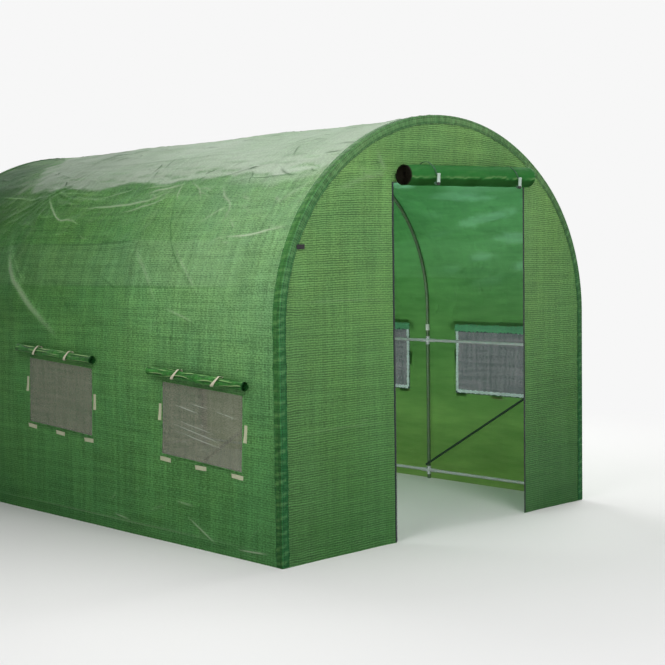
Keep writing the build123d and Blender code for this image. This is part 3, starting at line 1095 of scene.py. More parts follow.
@dataclass(frozen=True)
class Tunnel:
    """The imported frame's main places, and how the film hangs between the tubes."""

    arch: ArchShape
    front_y: float
    back_y: float
    hoops: tuple[float, ...]
    base_rail: float
    waist_rail: float
    door_left: float
    door_right: float
    door_top: float
    film_inset: float = 0.0006
    rail_slack: float = 0.002
    wall_slack: float = 0.007
    haunch_slack: float = 0.022
    roof_slack: float = 0.008

    @classmethod
    def from_frame(cls) -> "Tunnel":
        """Read the places from the nodes.

        Returns:
            The tunnel.
        """
        wall_low, wall_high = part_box("left_wall_cover")
        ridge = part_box("left_roof_cover")[1].z
        hoops = []
        for name in ("front_hoop", "second_hoop", "third_hoop", "back_hoop"):
            low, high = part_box(f"{name}_legs")
            hoops.append((low.y + high.y) / 2)
        rails = [sum(corner.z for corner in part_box(f"left_{name}_rail")) / 2 for name in ("base", "waist")]
        head_low, head_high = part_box("front_top_panel")
        return cls(
            ArchShape(-wall_low.x, wall_high.z, ridge), wall_low.y, wall_high.y, tuple(hoops), *rails,
            head_low.x, head_high.x, head_low.z,
        )

    @property
    def length(self) -> float:
        """From the front face to the back face."""
        return self.back_y - self.front_y

    def face_y(self, end: End) -> float:
        """The plane of one end."""
        return self.front_y if end is End.FRONT else self.back_y

    def hang(self, flat: np.ndarray) -> np.ndarray:
        """How far the side film stands out, mostly less than nothing where it hangs in between the tubes.

        Args:
            flat: Places on the film: along the tunnel from its front face, and up over the arch.

        Returns:
            The distance outwards of each place.
        """
        along, up = flat.T
        hoops = np.array(self.hoops) - self.front_y
        bay = np.clip(np.searchsorted(hoops, along) - 1, 0, len(hoops) - 2)
        share = np.clip((along - hoops[bay]) / (hoops[bay + 1] - hoops[bay]), 0, 1)
        between_hoops = 4 * share * (1 - share)
        slack = np.full(len(flat), self.rail_slack)
        for low, high, most in (
            (self.base_rail, self.waist_rail, self.wall_slack),
            (self.waist_rail, self.arch.shoulder_rail_up, self.haunch_slack),
            (self.arch.shoulder_rail_up, self.arch.ridge_up, self.roof_slack),
        ):
            between_rails = np.clip((up - low) / (high - low), 0, 1)
            slack += most * np.sin(math.pi * between_rails) ** 0.8
        return -self.film_inset - between_hoops * slack

    def over_side(self, side: Side, flat: np.ndarray, lift: np.ndarray) -> tuple[np.ndarray, np.ndarray]:
        """Lay flat places of the side film over the arch.

        Args:
            side: The side of the tunnel.
            flat: Places on the film, as in hang.
            lift: How far each stands out from the arch.

        Returns:
            The points, and the outward direction at each.
        """
        places, out = self.arch.section(flat[:, 1])
        places = places + out * lift[:, None]
        points = np.column_stack([side.value * places[:, 0], self.front_y + flat[:, 0], places[:, 1]])
        outward = np.column_stack([side.value * out[:, 0], np.zeros(len(flat)), out[:, 1]])
        return points, outward


# A fold higher than this gets two more rows of points beside it.
TALL_FOLD = 0.0024


@dataclass(frozen=True)
class Crease:
    """A fold or a stretch line in the film, as a line on its flat pattern."""

    path: tuple[Span, ...]
    height: float
    width: float
    # How pale the crease is painted: whitening with a painted highlight, or painted shade below 0.
    pale: float = 0.4
    from_start: bool = False

    def line(self) -> np.ndarray:
        """The crease's points, rounded between those of its path."""
        return smooth_line(self.path, max(0.007, 1.5 * self.width))

    def rows(self) -> np.ndarray:
        """Points along and beside the crease, close enough together to carry its profile."""
        line = self.line()
        along = np.gradient(line, axis=0)
        along /= np.linalg.norm(along, axis=1)[:, None] + 1e-9
        beside = np.column_stack([-along[:, 1], along[:, 0]])
        shares = (-1.8, -0.8, 0, 0.8, 1.8) if abs(self.height) > TALL_FOLD else (-1.2, 0, 1.2)
        return np.vstack([line + share * self.width * beside for share in shares])

    def press(self, flat: np.ndarray, lift: np.ndarray, pale: np.ndarray) -> None:
        """Raise the film along the crease, and paint it paler or darker there: whitening with a painted
        highlight, or painted shade in the fold.

        Args:
            flat: Places on the film.
            lift: How far each stands out, changed in place.
            pale: How pale each is, changed in place: whitening with a painted highlight above 0, painted
                shade below.
        """
        line = self.line()
        margin = 3 * self.width
        near = np.flatnonzero(((flat > line.min(0) - margin) & (flat < line.max(0) + margin)).all(1))
        start, step = line[:-1], np.diff(line, axis=0)
        off = flat[near][:, None] - start
        share = np.clip((off * step).sum(2) / (step**2).sum(1), 0, 1)
        apart = np.linalg.norm(off - share[..., None] * step, axis=2)
        closest = apart.argmin(1)
        rows = np.arange(len(near))
        along = (closest + share[rows, closest]) / len(step)
        fade = np.clip((1 - along) * 3, 0, 1)
        if not self.from_start:
            fade = fade * np.clip(along * 3, 0, 1)
        profile = np.exp(-((apart[rows, closest] / self.width) ** 2))
        lift[near] += self.height * profile * fade
        pale[near] += self.pale * profile**2 * fade


@dataclass(frozen=True)
class CreaseField:
    """Many small creases strewn over one stretch of film."""

    count: int
    low: Span
    high: Span
    length: Span
    heading: Span
    height: Span
    width: Span
    pale: Span

    def strewn(self, draw: np.random.Generator) -> list[Crease]:
        """Draw the creases.

        Args:
            draw: The source of chance.

        Returns:
            The creases, each slightly crooked.
        """
        made = []
        for _ in range(self.count):
            middle = np.array([draw.uniform(low, high) for low, high in zip(self.low, self.high)])
            turn = math.radians(self.heading[0] + self.heading[1] * draw.uniform(-0.5, 0.5))
            length = draw.uniform(*self.length)
            run = 0.5 * length * np.array([math.cos(turn), math.sin(turn)])
            beside = np.array([-run[1], run[0]]) * draw.uniform(-0.35, 0.35)
            path = (tuple(middle - run), tuple(middle + beside), tuple(middle + run))
            made.append(Crease(
                path, draw.uniform(*self.height), draw.uniform(*self.width), draw.uniform(*self.pale)
            ))
        return made


# A tension fold starts this far from the place that holds the film.
HELD_REACH = 0.03


def polar(centre: Span, reach: float, turn: float) -> Span:
    """The place this far from a centre, at this heading in radians."""
    return centre[0] + reach * math.cos(turn), centre[1] + reach * math.sin(turn)


def fan(centre: Span, reach: Span, headings: Sequence[float], draw: np.random.Generator) -> list[Crease]:
    """Tension folds that run out from where the film is held.

    Args:
        centre: The place that holds the film.
        reach: The shortest and the longest fold.
        headings: The usual heading of each fold, in degrees.
        draw: The source of chance.

    Returns:
        The folds.
    """
    made = []
    for heading in headings:
        turn = math.radians(heading + draw.uniform(-7, 7))
        bend = turn + math.radians(draw.uniform(-16, 16))
        length = draw.uniform(*reach)
        knee = polar(centre, 0.5 * length, turn)
        tip = polar(knee, 0.5 * length, bend)
        start = polar(centre, HELD_REACH, turn)
        made.append(Crease(
            (start, knee, tip), draw.uniform(0.003, 0.006), draw.uniform(0.008, 0.016),
            draw.uniform(0.02, 0.24), from_start=True,
        ))
    return made


# Points of creases are kept once on every square of this size.
MERGED = 0.003


@dataclass
class FilmPattern:
    """A flat piece of film with its folds, ready to be laid in place."""

    loops: list[np.ndarray]
    depth: Callable[[np.ndarray], np.ndarray]
    cell: float
    creases: list[Crease] = field(default_factory=list)

    def rims(self) -> list[np.ndarray]:
        """The edge loops, with points about a cell apart."""
        return [walked_round(loop, self.cell) for loop in self.loops]

    def triangles(self) -> tuple[np.ndarray, np.ndarray]:
        """Cut the film into triangles that follow its edges and its creases.

        Returns:
            The points on the flat pattern and the triangles.
        """
        rims = self.rims()
        inner = np.zeros((0, 2))
        sharp = [crease.rows() for crease in self.creases if crease.width < 0.9 * self.cell]
        if sharp:
            inner = np.vstack(sharp)
            inner = inner[self.depth(inner) > 0.3 * self.cell]
            spots = np.round(inner / MERGED).astype(int)
            inner = inner[np.unique(spots, axis=0, return_index=True)[1]]
        low, high = rims[0].min(0), rims[0].max(0)
        rows = np.arange(low[1], high[1], self.cell * math.sqrt(3) / 2)
        columns = np.arange(low[0], high[0], self.cell)
        grid = np.array(np.meshgrid(columns, rows)).transpose(1, 2, 0)
        grid[1::2, :, 0] += self.cell / 2
        grid = grid.reshape(-1, 2)
        grid = grid[self.depth(grid) > 0.5 * self.cell]
        # The even grid gives way wherever a crease has points of its own.
        box = 0.5 * self.cell
        taken = np.zeros(tuple(((high - low) / box).astype(int) + 6), bool)
        at = ((inner - low) / box).astype(int) + 2
        for step in ((0, 0), (1, 0), (-1, 0), (0, 1), (0, -1)):
            taken[at[:, 0] + step[0], at[:, 1] + step[1]] = True
        at = ((grid - low) / box).astype(int) + 2
        grid = grid[~taken[at[:, 0], at[:, 1]]]
        edges = []
        start = 0
        for rim in rims:
            ring = start + np.arange(len(rim))
            edges += list(zip(ring.tolist(), np.roll(ring, -1).tolist()))
            start += len(rim)
        everything = np.vstack([*rims, inner, grid])
        cut = delaunay_2d_cdt([Vector(place) for place in everything.tolist()], edges, [], 0, 1e-7)
        flat = np.array([tuple(place) for place in cut[0]])
        faces = np.array(cut[2])
        faces = faces[self.depth(flat[faces].mean(1)) > 0]
        used, renamed = np.unique(faces, return_inverse=True)
        return flat[used], renamed.reshape(faces.shape)

    def pressed(self, flat: np.ndarray) -> tuple[np.ndarray, np.ndarray]:
        """What the creases do at each place.

        Args:
            flat: Places on the film.

        Returns:
            How far each is raised, and how pale it is.
        """
        lift = np.zeros(len(flat))
        pale = np.zeros(len(flat))
        for crease in self.creases:
            crease.press(flat, lift, pale)
        return lift, np.clip(pale, -0.8, 0.85)


@dataclass(frozen=True)
class Place:
    """A local frame: along a piece, out from the tunnel, and up."""

    origin: tuple[float, float, float]
    along: tuple[float, float, float]
    out: tuple[float, float, float]
    up: tuple[float, float, float]

    def world(self, local: np.ndarray) -> np.ndarray:
        """Points in the tunnel's frame.

        Args:
            local: Rows of along, out and up.

        Returns:
            Rows of X, Y and Z.
        """
        return np.array(self.origin) + local @ np.array([self.along, self.out, self.up])

    def matrix(self, along: float, out: float, up: float, spin: float = 0.0) -> Matrix:
        """Where a small model stands.

        Args:
            along: Its place along.
            out: Its place outwards.
            up: Its place upwards.
            spin: Its turn about the outward axis, in degrees.

        Returns:
            A matrix for a model that was made with X along, -Y out and Z up.
        """
        origin = Vector(self.world(np.array([along, out, up])))
        axes = standing(self.along, [-part for part in self.out], self.up)
        return Matrix.Translation(origin) @ axes @ Matrix.Rotation(math.radians(spin), 4, "Y")


@dataclass(frozen=True)
class RolledFlap:
    """A flap of film rolled up and held above its opening."""

    name: str
    place: Place
    ends: Span
    centre: Span
    radius: float
    roll_shade_radius: float
    turns: float
    hang_height: float
    recess: float
    slack: float
    seed: int
    dents: float = 0.0
    # How strongly the dents' painted highlights and shade show.
    streaks: float = 0.0
    round_end: float = 0.0
    hung_share: float = 0.9
    lap_angle: float | None = None
    tilt: float = 0.0
    flare: float = 0.0
    steps_round: int = 28
    steps_along: int = 48
    film: float = 0.0008
    drawn_turns: float = 2.2
    inner_steps: int = 18
    start_angle: float = 172.0
    crowding: float = 82.0
    hang_rows: int = 6
    lap_step: float = 0.0022
    dent_angles: tuple[float, ...] = (62, 22, -14, -48)

    def turned(self) -> np.ndarray:
        """How far each point of the spiral is turned. The outer turns show, so they get more points."""
        close = min(self.drawn_turns, self.turns)
        deep_turns = self.turns - close
        change, full = 2 * math.pi * deep_turns, 2 * math.pi * self.turns
        inner = np.linspace(0, change, round(self.inner_steps * deep_turns) + 1)[:-1]
        return np.concatenate([inner, np.linspace(change, full, round(close * self.steps_round))])

    def dented(
        self, flat: np.ndarray, phi: np.ndarray, outer: np.ndarray, radius: np.ndarray
    ) -> tuple[np.ndarray, np.ndarray]:
        """Press long dents round the front of the roll, each with a painted highlight on its edge and
        painted shade in its hollow.

        Args:
            flat: The points' places on the unrolled film.
            phi: Their angles round the roll.
            outer: Which of them lie on the outermost turn.
            radius: Their distances from the roll's middle.

        Returns:
            The distances with the dents in them, and how pale each point is.
        """
        pale = np.zeros(phi.shape)
        for number, middle_angle in enumerate(self.dent_angles):
            draw = np.random.default_rng(self.seed + 40 + number)
            line = math.radians(middle_angle + draw.uniform(-9, 9))
            line = line + 0.4 * ripple(flat, 0.26, self.seed + 50 + number).reshape(phi.shape)
            off = np.angle(np.exp(1j * (phi - line)))
            strong = 0.5 + ripple(flat, 0.12, self.seed + 60 + number).reshape(phi.shape)
            strong = outer * np.clip(strong, 0, 1.2)
            radius = radius - self.dents * strong * np.exp(-((off / 0.3) ** 2))
            edges = np.exp(-(((off - 0.3) / 0.13) ** 2)) - 0.9 * np.exp(-((off / 0.2) ** 2))
            pale = pale + self.streaks * strong * edges
        return radius, pale

    def lap(
        self, along: np.ndarray, phi: np.ndarray, outer: np.ndarray
    ) -> tuple[np.ndarray, np.ndarray, np.ndarray]:
        """The film's free edge, which runs along the outside of the roll.

        Args:
            along: The places along the roll.
            phi: The points' angles round the roll.
            outer: Which of them lie on the outermost turn.

        Returns:
            Which points lie on the edge, which in the shade below it, and how brightly it shows along
            the roll.
        """
        line = np.column_stack([along, along])
        wander = 4 * ripple(line, 0.13, self.seed + 2) + 2.5 * ripple(line, 0.04, self.seed + 3)
        off = np.degrees(phi) - 360 - self.lap_angle - wander[:, None]
        below = outer * smooth_step(-off, 0, 12) * smooth_step(off, -75, -50)
        broken = np.clip(0.6 + 0.45 * ripple(line, 0.1, self.seed + 4), 0, 1)[:, None]
        return np.exp(-((off / 5.5) ** 2)) * outer, below, broken

    def build(
        self, material: bpy.types.Material, wall: Callable[[np.ndarray], np.ndarray]
    ) -> bpy.types.Object:
        """Roll the flap.

        Args:
            material: Its finish.
            wall: How far out the film behind stands, for rows of along and up.

        Returns:
            The rolled sheet, hung from the film behind it.
        """
        turned = self.turned()
        rounds = len(turned)
        tail = self.hang_rows
        start, stop = self.ends
        middle, half = (start + stop) / 2, (stop - start) / 2
        share = np.linspace(-1, 1, self.steps_along)
        crowding = math.radians(self.crowding)
        along = middle + half * np.sin(share * crowding) / math.sin(crowding)
        a, t = np.meshgrid(along, turned, indexing="ij")
        phi = math.radians(self.start_angle) + turned[-1] - t
        deep = 1 - t / turned[-1]
        outer = smooth_step(t, turned[-1] - 2.2 * math.pi, turned[-1] - 1.7 * math.pi)
        radius = self.roll_shade_radius + (self.radius - self.slack - self.roll_shade_radius) * t / turned[-1]
        flat = np.column_stack([a.ravel(), t.ravel() * self.radius * 0.6])
        loose = 0.5 + 0.5 * ripple(flat, 0.21, self.seed, (12, 40)).reshape(a.shape)
        fine = ripple(flat, 0.05, self.seed + 1, (35, 70)).reshape(a.shape)
        radius = radius + outer * self.slack * np.clip(loose + 0.25 * fine, -0.3, 1)
        radius, pale = self.dented(flat, phi, outer, radius)
        if self.lap_angle is not None:
            lap, below, broken = self.lap(along, phi, outer)
            radius = radius + self.lap_step * lap
            # A painted highlight along the free edge, and painted shade below it.
            pale = pale * (1 - below) + lap * broken - below * (0.75 + 0.25 * loose)
        if self.round_end > 0:
            near_end = np.clip(1 - (stop - a) / self.round_end, 0, 1)
            radius = radius * np.sqrt(1 - 0.62 * near_end**3)
        inward = (a - middle) / half
        radius = radius * (1 + self.flare * inward)
        a = a - np.sign(inward) * self.recess * smooth_step(deep, 0.03, 0.5) * inward**4
        out = self.centre[0] + radius * np.cos(phi)
        up = self.centre[1] + radius * np.sin(phi) + self.tilt * inward
        # The last rows run from the roll up to the film that it hangs from.
        hung_along = middle + self.hung_share * (along - middle)
        top = np.column_stack([hung_along, np.full(len(along), self.centre[1] + self.hang_height)])
        last = np.stack([a[:, -1], out[:, -1], up[:, -1]], 1)
        last[:, 0] = hung_along
        hung = np.stack([hung_along, wall(top) + 0.0004, top[:, 1]], 1)
        step = (np.arange(1, tail + 1) / tail)[None, :, None]
        hanger = last[:, None] * (1 - step) + hung[:, None] * step
        sheet = np.concatenate([np.stack([a, out, up], 2), hanger], 1)
        columns = rounds + tail
        arc = np.concatenate([[0], np.cumsum(np.linalg.norm(np.diff(sheet[0], axis=0), axis=1))])
        pattern = np.column_stack([np.repeat(along, columns), np.tile(arc, len(along))])
        points = self.place.world(sheet.reshape(-1, 3))
        axis = np.array([0.0, self.centre[0], self.centre[1]])
        centre_line = self.place.world(sheet.reshape(-1, 3) * (1, 0, 0) + axis)
        faces = grid_faces(len(along), columns)
        rolled = (np.arange(len(points)) % columns < rounds)[:, None]
        faces = facing(points, faces, (points - centre_line) * rolled)
        # Painted shade: at the rims of the near end, on the turns deep inside the roll and on the strip that
        # hangs behind it.
        end_shade = smooth_step(np.abs(inward), 0.97, 0.99) * smooth_step(deep, 0.0, 0.012)
        end_shade = np.maximum(end_shade, smooth_step(np.abs(inward), 0.993, 0.999)) * (inward < 0)
        inside = smooth_step(deep, 0.95 / self.turns, 1.2 / self.turns)
        roll_shade = np.concatenate([np.maximum(inside, end_shade), np.full((len(along), tail), 0.5)], 1)
        pale = np.concatenate([pale, np.full((len(along), tail), -0.5)], 1)
        piece = mesh_piece(
            self.name, points, faces, [material], pattern, {"pale": pale.ravel(), "roll_shade": roll_shade.ravel()}
        )
        thicken(piece, self.film)
        return piece


# A window's corners, in half widths and half heights.
SQUARE = np.array([(-1, -1), (1, -1), (1, 1), (-1, 1)])


@dataclass(frozen=True)
class WindowRow:
    """The roll-up windows of one side, with their netting, flaps, ribbons and hook strips."""

    side: Side
    tunnel: Tunnel
    first: float
    pitch: float
    below_spring: float
    angle: float
    ribbon_offsets: tuple[Span, ...]
    width: float = 0.54
    height: float = 0.32
    count: int = 3
    roll_radius: float = 0.0215
    roll_overhang: float = 0.062
    roll_lift: float = 0.021
    stand_off: float = 0.0021
    ribbon_width: float = 0.0115
    ribbon_slant: float = 0.042
    ribbon_bow: float = 0.019
    ribbon_turn: float = 138.0
    ribbon_steps: int = 47
    ribbon_columns: int = 5
    strip_length: float = 0.072
    strip_width: float = 0.018
    strip_gap: float = 0.003
    binding: float = 0.007
    binding_step: float = 0.012
    lap: float = 0.012
    edge_tape: float = 0.016
    seam: float = 0.036
    seam_overhang: float = 0.014
    netting_cell: float = 0.013
    netting_depth: float = 0.0013
    tape_depth: float = 0.0032
    netting_film: float = 0.0004
    tape_film: float = 0.0006
    binding_film: float = 0.0008
    ribbon_film: float = 0.0008
    strip_shifts: Span = (0.004, 0.024)
    strip_drop: float = 0.007

    @property
    def centres(self) -> list[Span]:
        """Each window's middle on the flat pattern."""
        lean = math.tan(math.radians(self.angle))
        low = self.tunnel.arch.spring_height - self.below_spring
        steps = [index * self.pitch for index in range(self.count)]
        return [(self.first + step, low + step * lean) for step in steps]

    @property
    def axes(self) -> np.ndarray:
        """The directions along and up the windows, on the flat pattern."""
        turn = math.radians(self.angle)
        return np.array([[math.cos(turn), math.sin(turn)], [-math.sin(turn), math.cos(turn)]])

    def outline(self, centre: Span, grow: float = 0.0) -> np.ndarray:
        """A window's four corners on the flat pattern.

        Args:
            centre: The window's middle.
            grow: How much larger the outline is all round.

        Returns:
            The corners, in order.
        """
        half = np.array([self.width / 2 + grow, self.height / 2 + grow])
        return np.array(centre) + (SQUARE * half) @ self.axes

    def outside(self, flat: np.ndarray) -> np.ndarray:
        """How far outside the nearest window each place of the film lies."""
        nearest = np.full(len(flat), np.inf)
        for centre in self.centres:
            local = (flat - np.array(centre)) @ self.axes.T
            over = np.abs(local) - np.array([self.width / 2, self.height / 2])
            nearest = np.minimum(nearest, over.max(1))
        return nearest

    def place(self, centre: Span) -> Place:
        """The local frame of one window, on the wall's upright face."""
        turn = math.radians(self.angle)
        return Place(
            (self.side.value * self.tunnel.arch.half_width, self.tunnel.front_y + centre[0], centre[1]),
            along=(0, math.cos(turn), math.sin(turn)), out=(self.side.value, 0, 0),
            up=(0, -math.sin(turn), math.cos(turn)),
        )

    def laid(self, centre: Span, local: np.ndarray, out: np.ndarray) -> np.ndarray:
        """Points about one window, from their places on its wall and how far out each stands."""
        return self.place(centre).world(np.column_stack([local[:, 0], out, local[:, 1]]))

    def wall(self, centre: Span) -> Callable[[np.ndarray], np.ndarray]:
        """How far out the wall's film stands about one window.

        Args:
            centre: The window's middle.

        Returns:
            A function of rows of along and up in the window's own frame.
        """
        return lambda local: self.tunnel.hang(np.array(centre) + local[:, :2] @ self.axes)

    def netting(self, index: int, centre: Span, material: bpy.types.Material) -> None:
        """Set the netting in one window, lapped behind the film's edge.

        Args:
            index: The window's number.
            centre: Its middle.
            material: The netting's finish.
        """
        half = np.array([self.width / 2 + self.lap, self.height / 2 + self.lap])

        def depth(flat: np.ndarray) -> np.ndarray:
            """How far inside the netting's edges each place lies."""
            return (half - np.abs(flat)).min(1)

        corners = SQUARE * half
        stretched = STREAKS if index == 0 and self.side is Side.LEFT else ()
        pattern = FilmPattern([corners], depth, self.netting_cell, list(stretched))
        local, faces = pattern.triangles()
        pressed, pale = pattern.pressed(local)
        seed = 40 + 10 * index + self.side.value
        free = smooth_step(depth(local), self.lap, 0.08)
        wave = 0.0022 * ripple(local, 0.16, seed) + 0.001 * ripple(local, 0.05, seed + 1, (90, 50))
        sag = wave - 0.002 + pressed
        out = self.wall(centre)(local) - self.netting_depth + free * sag
        points = self.laid(centre, local, out)
        faces = facing(points, faces, (self.side.value, 0, 0))
        name = f"{self.side.word}_window_{index + 1}_netting"
        piece = mesh_piece(name, points, faces, [material], local, {"pale": pale})
        thicken(piece, self.netting_film)
        settle(piece, [f"{self.side.word}_window_screens"])

    def inner_edges(self, tape: bpy.types.Material, seam: bpy.types.Material) -> None:
        """Sew the pale edge tape and the head seam on the inside of each window.

        Args:
            tape: The edge tape's finish.
            seam: The finish of the doubled film above the window.
        """
        half_w, half_h = self.width / 2, self.height / 2
        corners = ((-half_w, half_h), (-half_w, -half_h), (half_w, -half_h), (half_w, half_h))
        seam_half, seam_at = half_w + self.seam_overhang, half_h + self.seam / 2
        seam_run = ((-seam_half, seam_at), (seam_half, seam_at))
        for name, runs, width, material, slot in (
            ("window_edge_tapes", tuple(zip(corners, corners[1:])), self.edge_tape, tape, "tie_ribbon"),
            ("window_head_seams", (seam_run,), self.seam, seam, "hem_tape"),
        ):
            patches = []
            for index, centre in enumerate(self.centres):
                for number, (start, end) in enumerate(runs):
                    run = np.array(end) - np.array(start)
                    length = float(np.linalg.norm(run))
                    beside = np.array([-run[1], run[0]]) / length
                    steps = round(length / 0.008)
                    share = np.linspace(0, 1, steps)
                    way = np.column_stack([share * length, share])
                    ragged = 1 + 0.22 * ripple(way, 0.035, 17 * index + number)
                    middle = np.array(start) + share[:, None] * run
                    across = np.linspace(-0.5, 0.5, 4)
                    spread = across[None, :, None] * width * ragged[:, None, None]
                    local = middle[:, None] + beside * spread
                    local = local.reshape(-1, 2)
                    puff = 0.0008 * ripple(local, 0.03, 29 + index)
                    out = self.wall(centre)(local) - self.tape_depth - np.abs(puff)
                    points = self.laid(centre, local, out)
                    faces = facing(points, grid_faces(steps, 4), (-self.side.value, 0, 0))
                    patches.append((points, faces, local))
            points, faces, pattern = joined(patches)
            piece = mesh_piece(f"{self.side.word}_{name}", points, faces, [material], pattern)
            thicken(piece, self.tape_film)
            settle(piece)

    def bindings(self, material: bpy.types.Material) -> None:
        """Sew the doubled edge round each opening.

        Args:
            material: The binding's finish.
        """
        patches = []
        section = np.array(
            [(-0.0004, -0.5), (0.0011, -0.36), (0.0014, 0.0), (0.0011, 0.36), (-0.0004, 0.5)]
        )
        for index, centre in enumerate(self.centres):
            middle = walked_round(self.outline((0, 0)), self.binding_step) @ self.axes.T
            grow = 1 + 2 * self.binding * section[:, 1][None, :, None] / np.array([self.width, self.height])
            spread = middle[:, None] * grow
            uneven = ripple(spread.reshape(-1, 2), 0.03, 7 + index).reshape(spread.shape[:2])
            spread += 0.0006 * uneven[..., None]
            local = spread.reshape(-1, 2)
            points = self.laid(centre, local, self.wall(centre)(local) + np.tile(section[:, 0], len(middle)))
            rows = np.arange(len(points)).reshape(len(middle), len(section))
            patches.append((points, quads_of(np.vstack([rows, rows[:1]])), local))
        points, faces, pattern = joined(patches)
        faces = facing(points, faces, (self.side.value, 0, 0))
        piece = mesh_piece(f"{self.side.word}_window_bindings", points, faces, [material], pattern)
        thicken(piece, self.binding_film)
        settle(piece)

    def flap(self, index: int, centre: Span, material: bpy.types.Material) -> None:
        """Roll up one window's flap above it.

        Args:
            index: The window's number.
            centre: Its middle.
            material: The flap's finish.
        """
        reach = self.width / 2 + self.roll_overhang
        draw = np.random.default_rng(70 + 3 * index + self.side.value)
        clear = self.tunnel.length - 0.04 - centre[0]
        ends = (-reach + draw.uniform(0.014, 0.024), min(reach - draw.uniform(0, 0.008), clear))
        middle = (self.stand_off + self.roll_radius, self.height / 2 + self.roll_lift + self.roll_radius)
        name = f"{self.side.word}_window_{index + 1}_flap"
        rolled = RolledFlap(
            name, self.place(centre), ends, middle, self.roll_radius, roll_shade_radius=0.0055, turns=4.1,
            hang_height=0.012, recess=0.004, slack=0.003, seed=100 + 7 * index + self.side.value,
            dents=0.0026, streaks=1.0, steps_round=40,
        )
        settle(rolled.build(material, self.wall(centre)), [f"{self.side.word}_window_rolls"])

    def ribbons(self, material: bpy.types.Material) -> None:
        """Wind the two slanting ribbons round each rolled flap.

        Args:
            material: The ribbon's finish.
        """
        patches = []
        columns = self.ribbon_columns
        middle_out = self.stand_off + self.roll_radius
        middle_up = self.height / 2 + self.roll_lift + self.roll_radius
        for index, (centre, offsets) in enumerate(zip(self.centres, self.ribbon_offsets)):
            for number, offset in enumerate(offsets):
                draw = np.random.default_rng(900 + 31 * index + 7 * number + self.side.value)
                slant = self.ribbon_slant * draw.uniform(0.8, 1.15)
                phi = np.radians(np.linspace(self.ribbon_turn, -self.ribbon_turn, self.ribbon_steps))
                reach = self.roll_radius + 0.0009
                lean = np.where(np.abs(phi) < math.pi / 2, np.sin(phi), np.sign(phi))
                along = offset - 0.5 * slant * lean + self.ribbon_bow * (1 - np.clip(np.cos(phi), 0, 1))
                out = middle_out + reach * np.cos(phi)
                up = middle_up + reach * np.sin(phi)
                loose = np.linspace(1, 0, 9)[:-1]
                tail_along = along[0] - loose * draw.uniform(0.001, 0.004)
                tail_up = up[0] + loose * draw.uniform(0.001, 0.003)
                tail_out = out[0] + loose * (0.003 - out[0])
                tail = np.column_stack([tail_along, tail_out, tail_up])
                line = np.vstack([tail, np.column_stack([along, out, up])])
                run = np.gradient(line, axis=0)
                run /= np.linalg.norm(run, axis=1)[:, None]
                away = (line - (0, middle_out, middle_up)) * (0, 1, 1)
                away /= np.linalg.norm(away, axis=1)[:, None]
                across = np.cross(run, away)
                across /= np.linalg.norm(across, axis=1)[:, None]
                share = np.linspace(-0.5, 0.5, columns)
                crown = 0.0006 * (1 - (2 * share) ** 2) + 0.0004 * np.sin(9 * share + index)
                wide = self.ribbon_width * (1 + 0.08 * np.sin(np.linspace(0, 9, len(line)) + number))
                strip = line[:, None] + across[:, None] * share[None, :, None] * wide[:, None, None]
                strip = strip + away[:, None] * crown[None, :, None]
                place = self.place(centre)
                points = place.world(strip.reshape(-1, 3))
                outward = place.world(np.repeat(away, columns, 0)) - place.world(np.zeros(3))
                patches.append((points, facing(points, grid_faces(len(line), columns), outward)))
        piece = mesh_piece(f"{self.side.word}_window_ribbons", *joined(patches), [material])
        thicken(piece, self.ribbon_film, outwards=True)
        settle(piece, [f"{self.side.word}_window_ties"])

    def hook_strips(self, material: bpy.types.Material) -> None:
        """Sew the short hook strips about each window: one up each side and three along the bottom.

        Args:
            material: The strips' finish.
        """
        half_w, half_h = self.width / 2 + self.strip_gap, self.height / 2 + self.strip_gap
        model = hook_strip_model(self.strip_length, self.strip_width, material)
        places = []
        for centre in self.centres:
            draw = np.random.default_rng(round(1000 * centre[0]) + self.side.value + 2)
            beside = half_w + self.strip_width / 2
            below = half_h + self.strip_width / 2 + self.strip_drop
            left_up, right_up = self.strip_shifts
            apart = (self.width - self.strip_length + 2 * self.strip_drop) / 2
            spots = [(-beside - self.strip_drop, left_up, 90), (beside, right_up, 90)]
            spots += [(step * apart, -below, 0) for step in (-1, 0, 1)]
            for along, up, spin in spots:
                out = float(self.wall(centre)(np.array([(along, up)]))[0])
                tilt = spin + draw.uniform(-4, 4)
                up = up + draw.uniform(-0.003, 0.003)
                places.append(self.place(centre).matrix(along, out + 0.0004, up, tilt))
        piece = copied(model, f"{self.side.word}_window_hook_strips", places)
        settle(piece, [f"{self.side.word}_window_strips"])

    def build(self, finishes: Finishes) -> None:
        """Make every piece of the row.

        Args:
            finishes: The tunnel's finishes.
        """
        # The row seen from inside takes the netting with painted shade.
        netting = finishes.netting if self.side is Side.LEFT else finishes.shaded_netting
        for index, centre in enumerate(self.centres):
            self.netting(index, centre, netting)
            self.flap(index, centre, finishes.flap_film)
        self.bindings(finishes.side_film)
        self.inner_edges(finishes.edge_tape, finishes.seam_film)
        self.ribbons(finishes.ribbon)
        self.hook_strips(finishes.hook_strip)


def hook_strip_model(length: float, width: float, material: bpy.types.Material) -> bpy.types.Object:
    """One short tape of hooks, with a sewn groove round its rim and one lifted corner.

    Args:
        length: Its length, along X.
        width: Its width, along Z.
        material: Its finish.

    Returns:
        The model, its back on Y = 0 and its face towards -Y.
    """
    thickness = 0.0012
    model = started_box((length, thickness, width), -thickness / 2)
    edit_all(bpy.ops.mesh.subdivide, number_cuts=3)
    pick(model, lambda face: face.normal.y < -0.9)
    bpy.ops.mesh.inset(thickness=0.0022, depth=-0.0003)
    bpy.ops.mesh.inset(thickness=0.0006, depth=0.0004)
    bpy.ops.object.mode_set(mode="OBJECT")
    for vertex in model.data.vertices:
        corner = max(0.0, vertex.co.x / length + vertex.co.z / width - 0.3)
        vertex.co.y -= 0.006 * corner**2
        vertex.co.z += 0.0008 * math.sin(70 * vertex.co.x)
    model.data.materials.append(material)
    return model


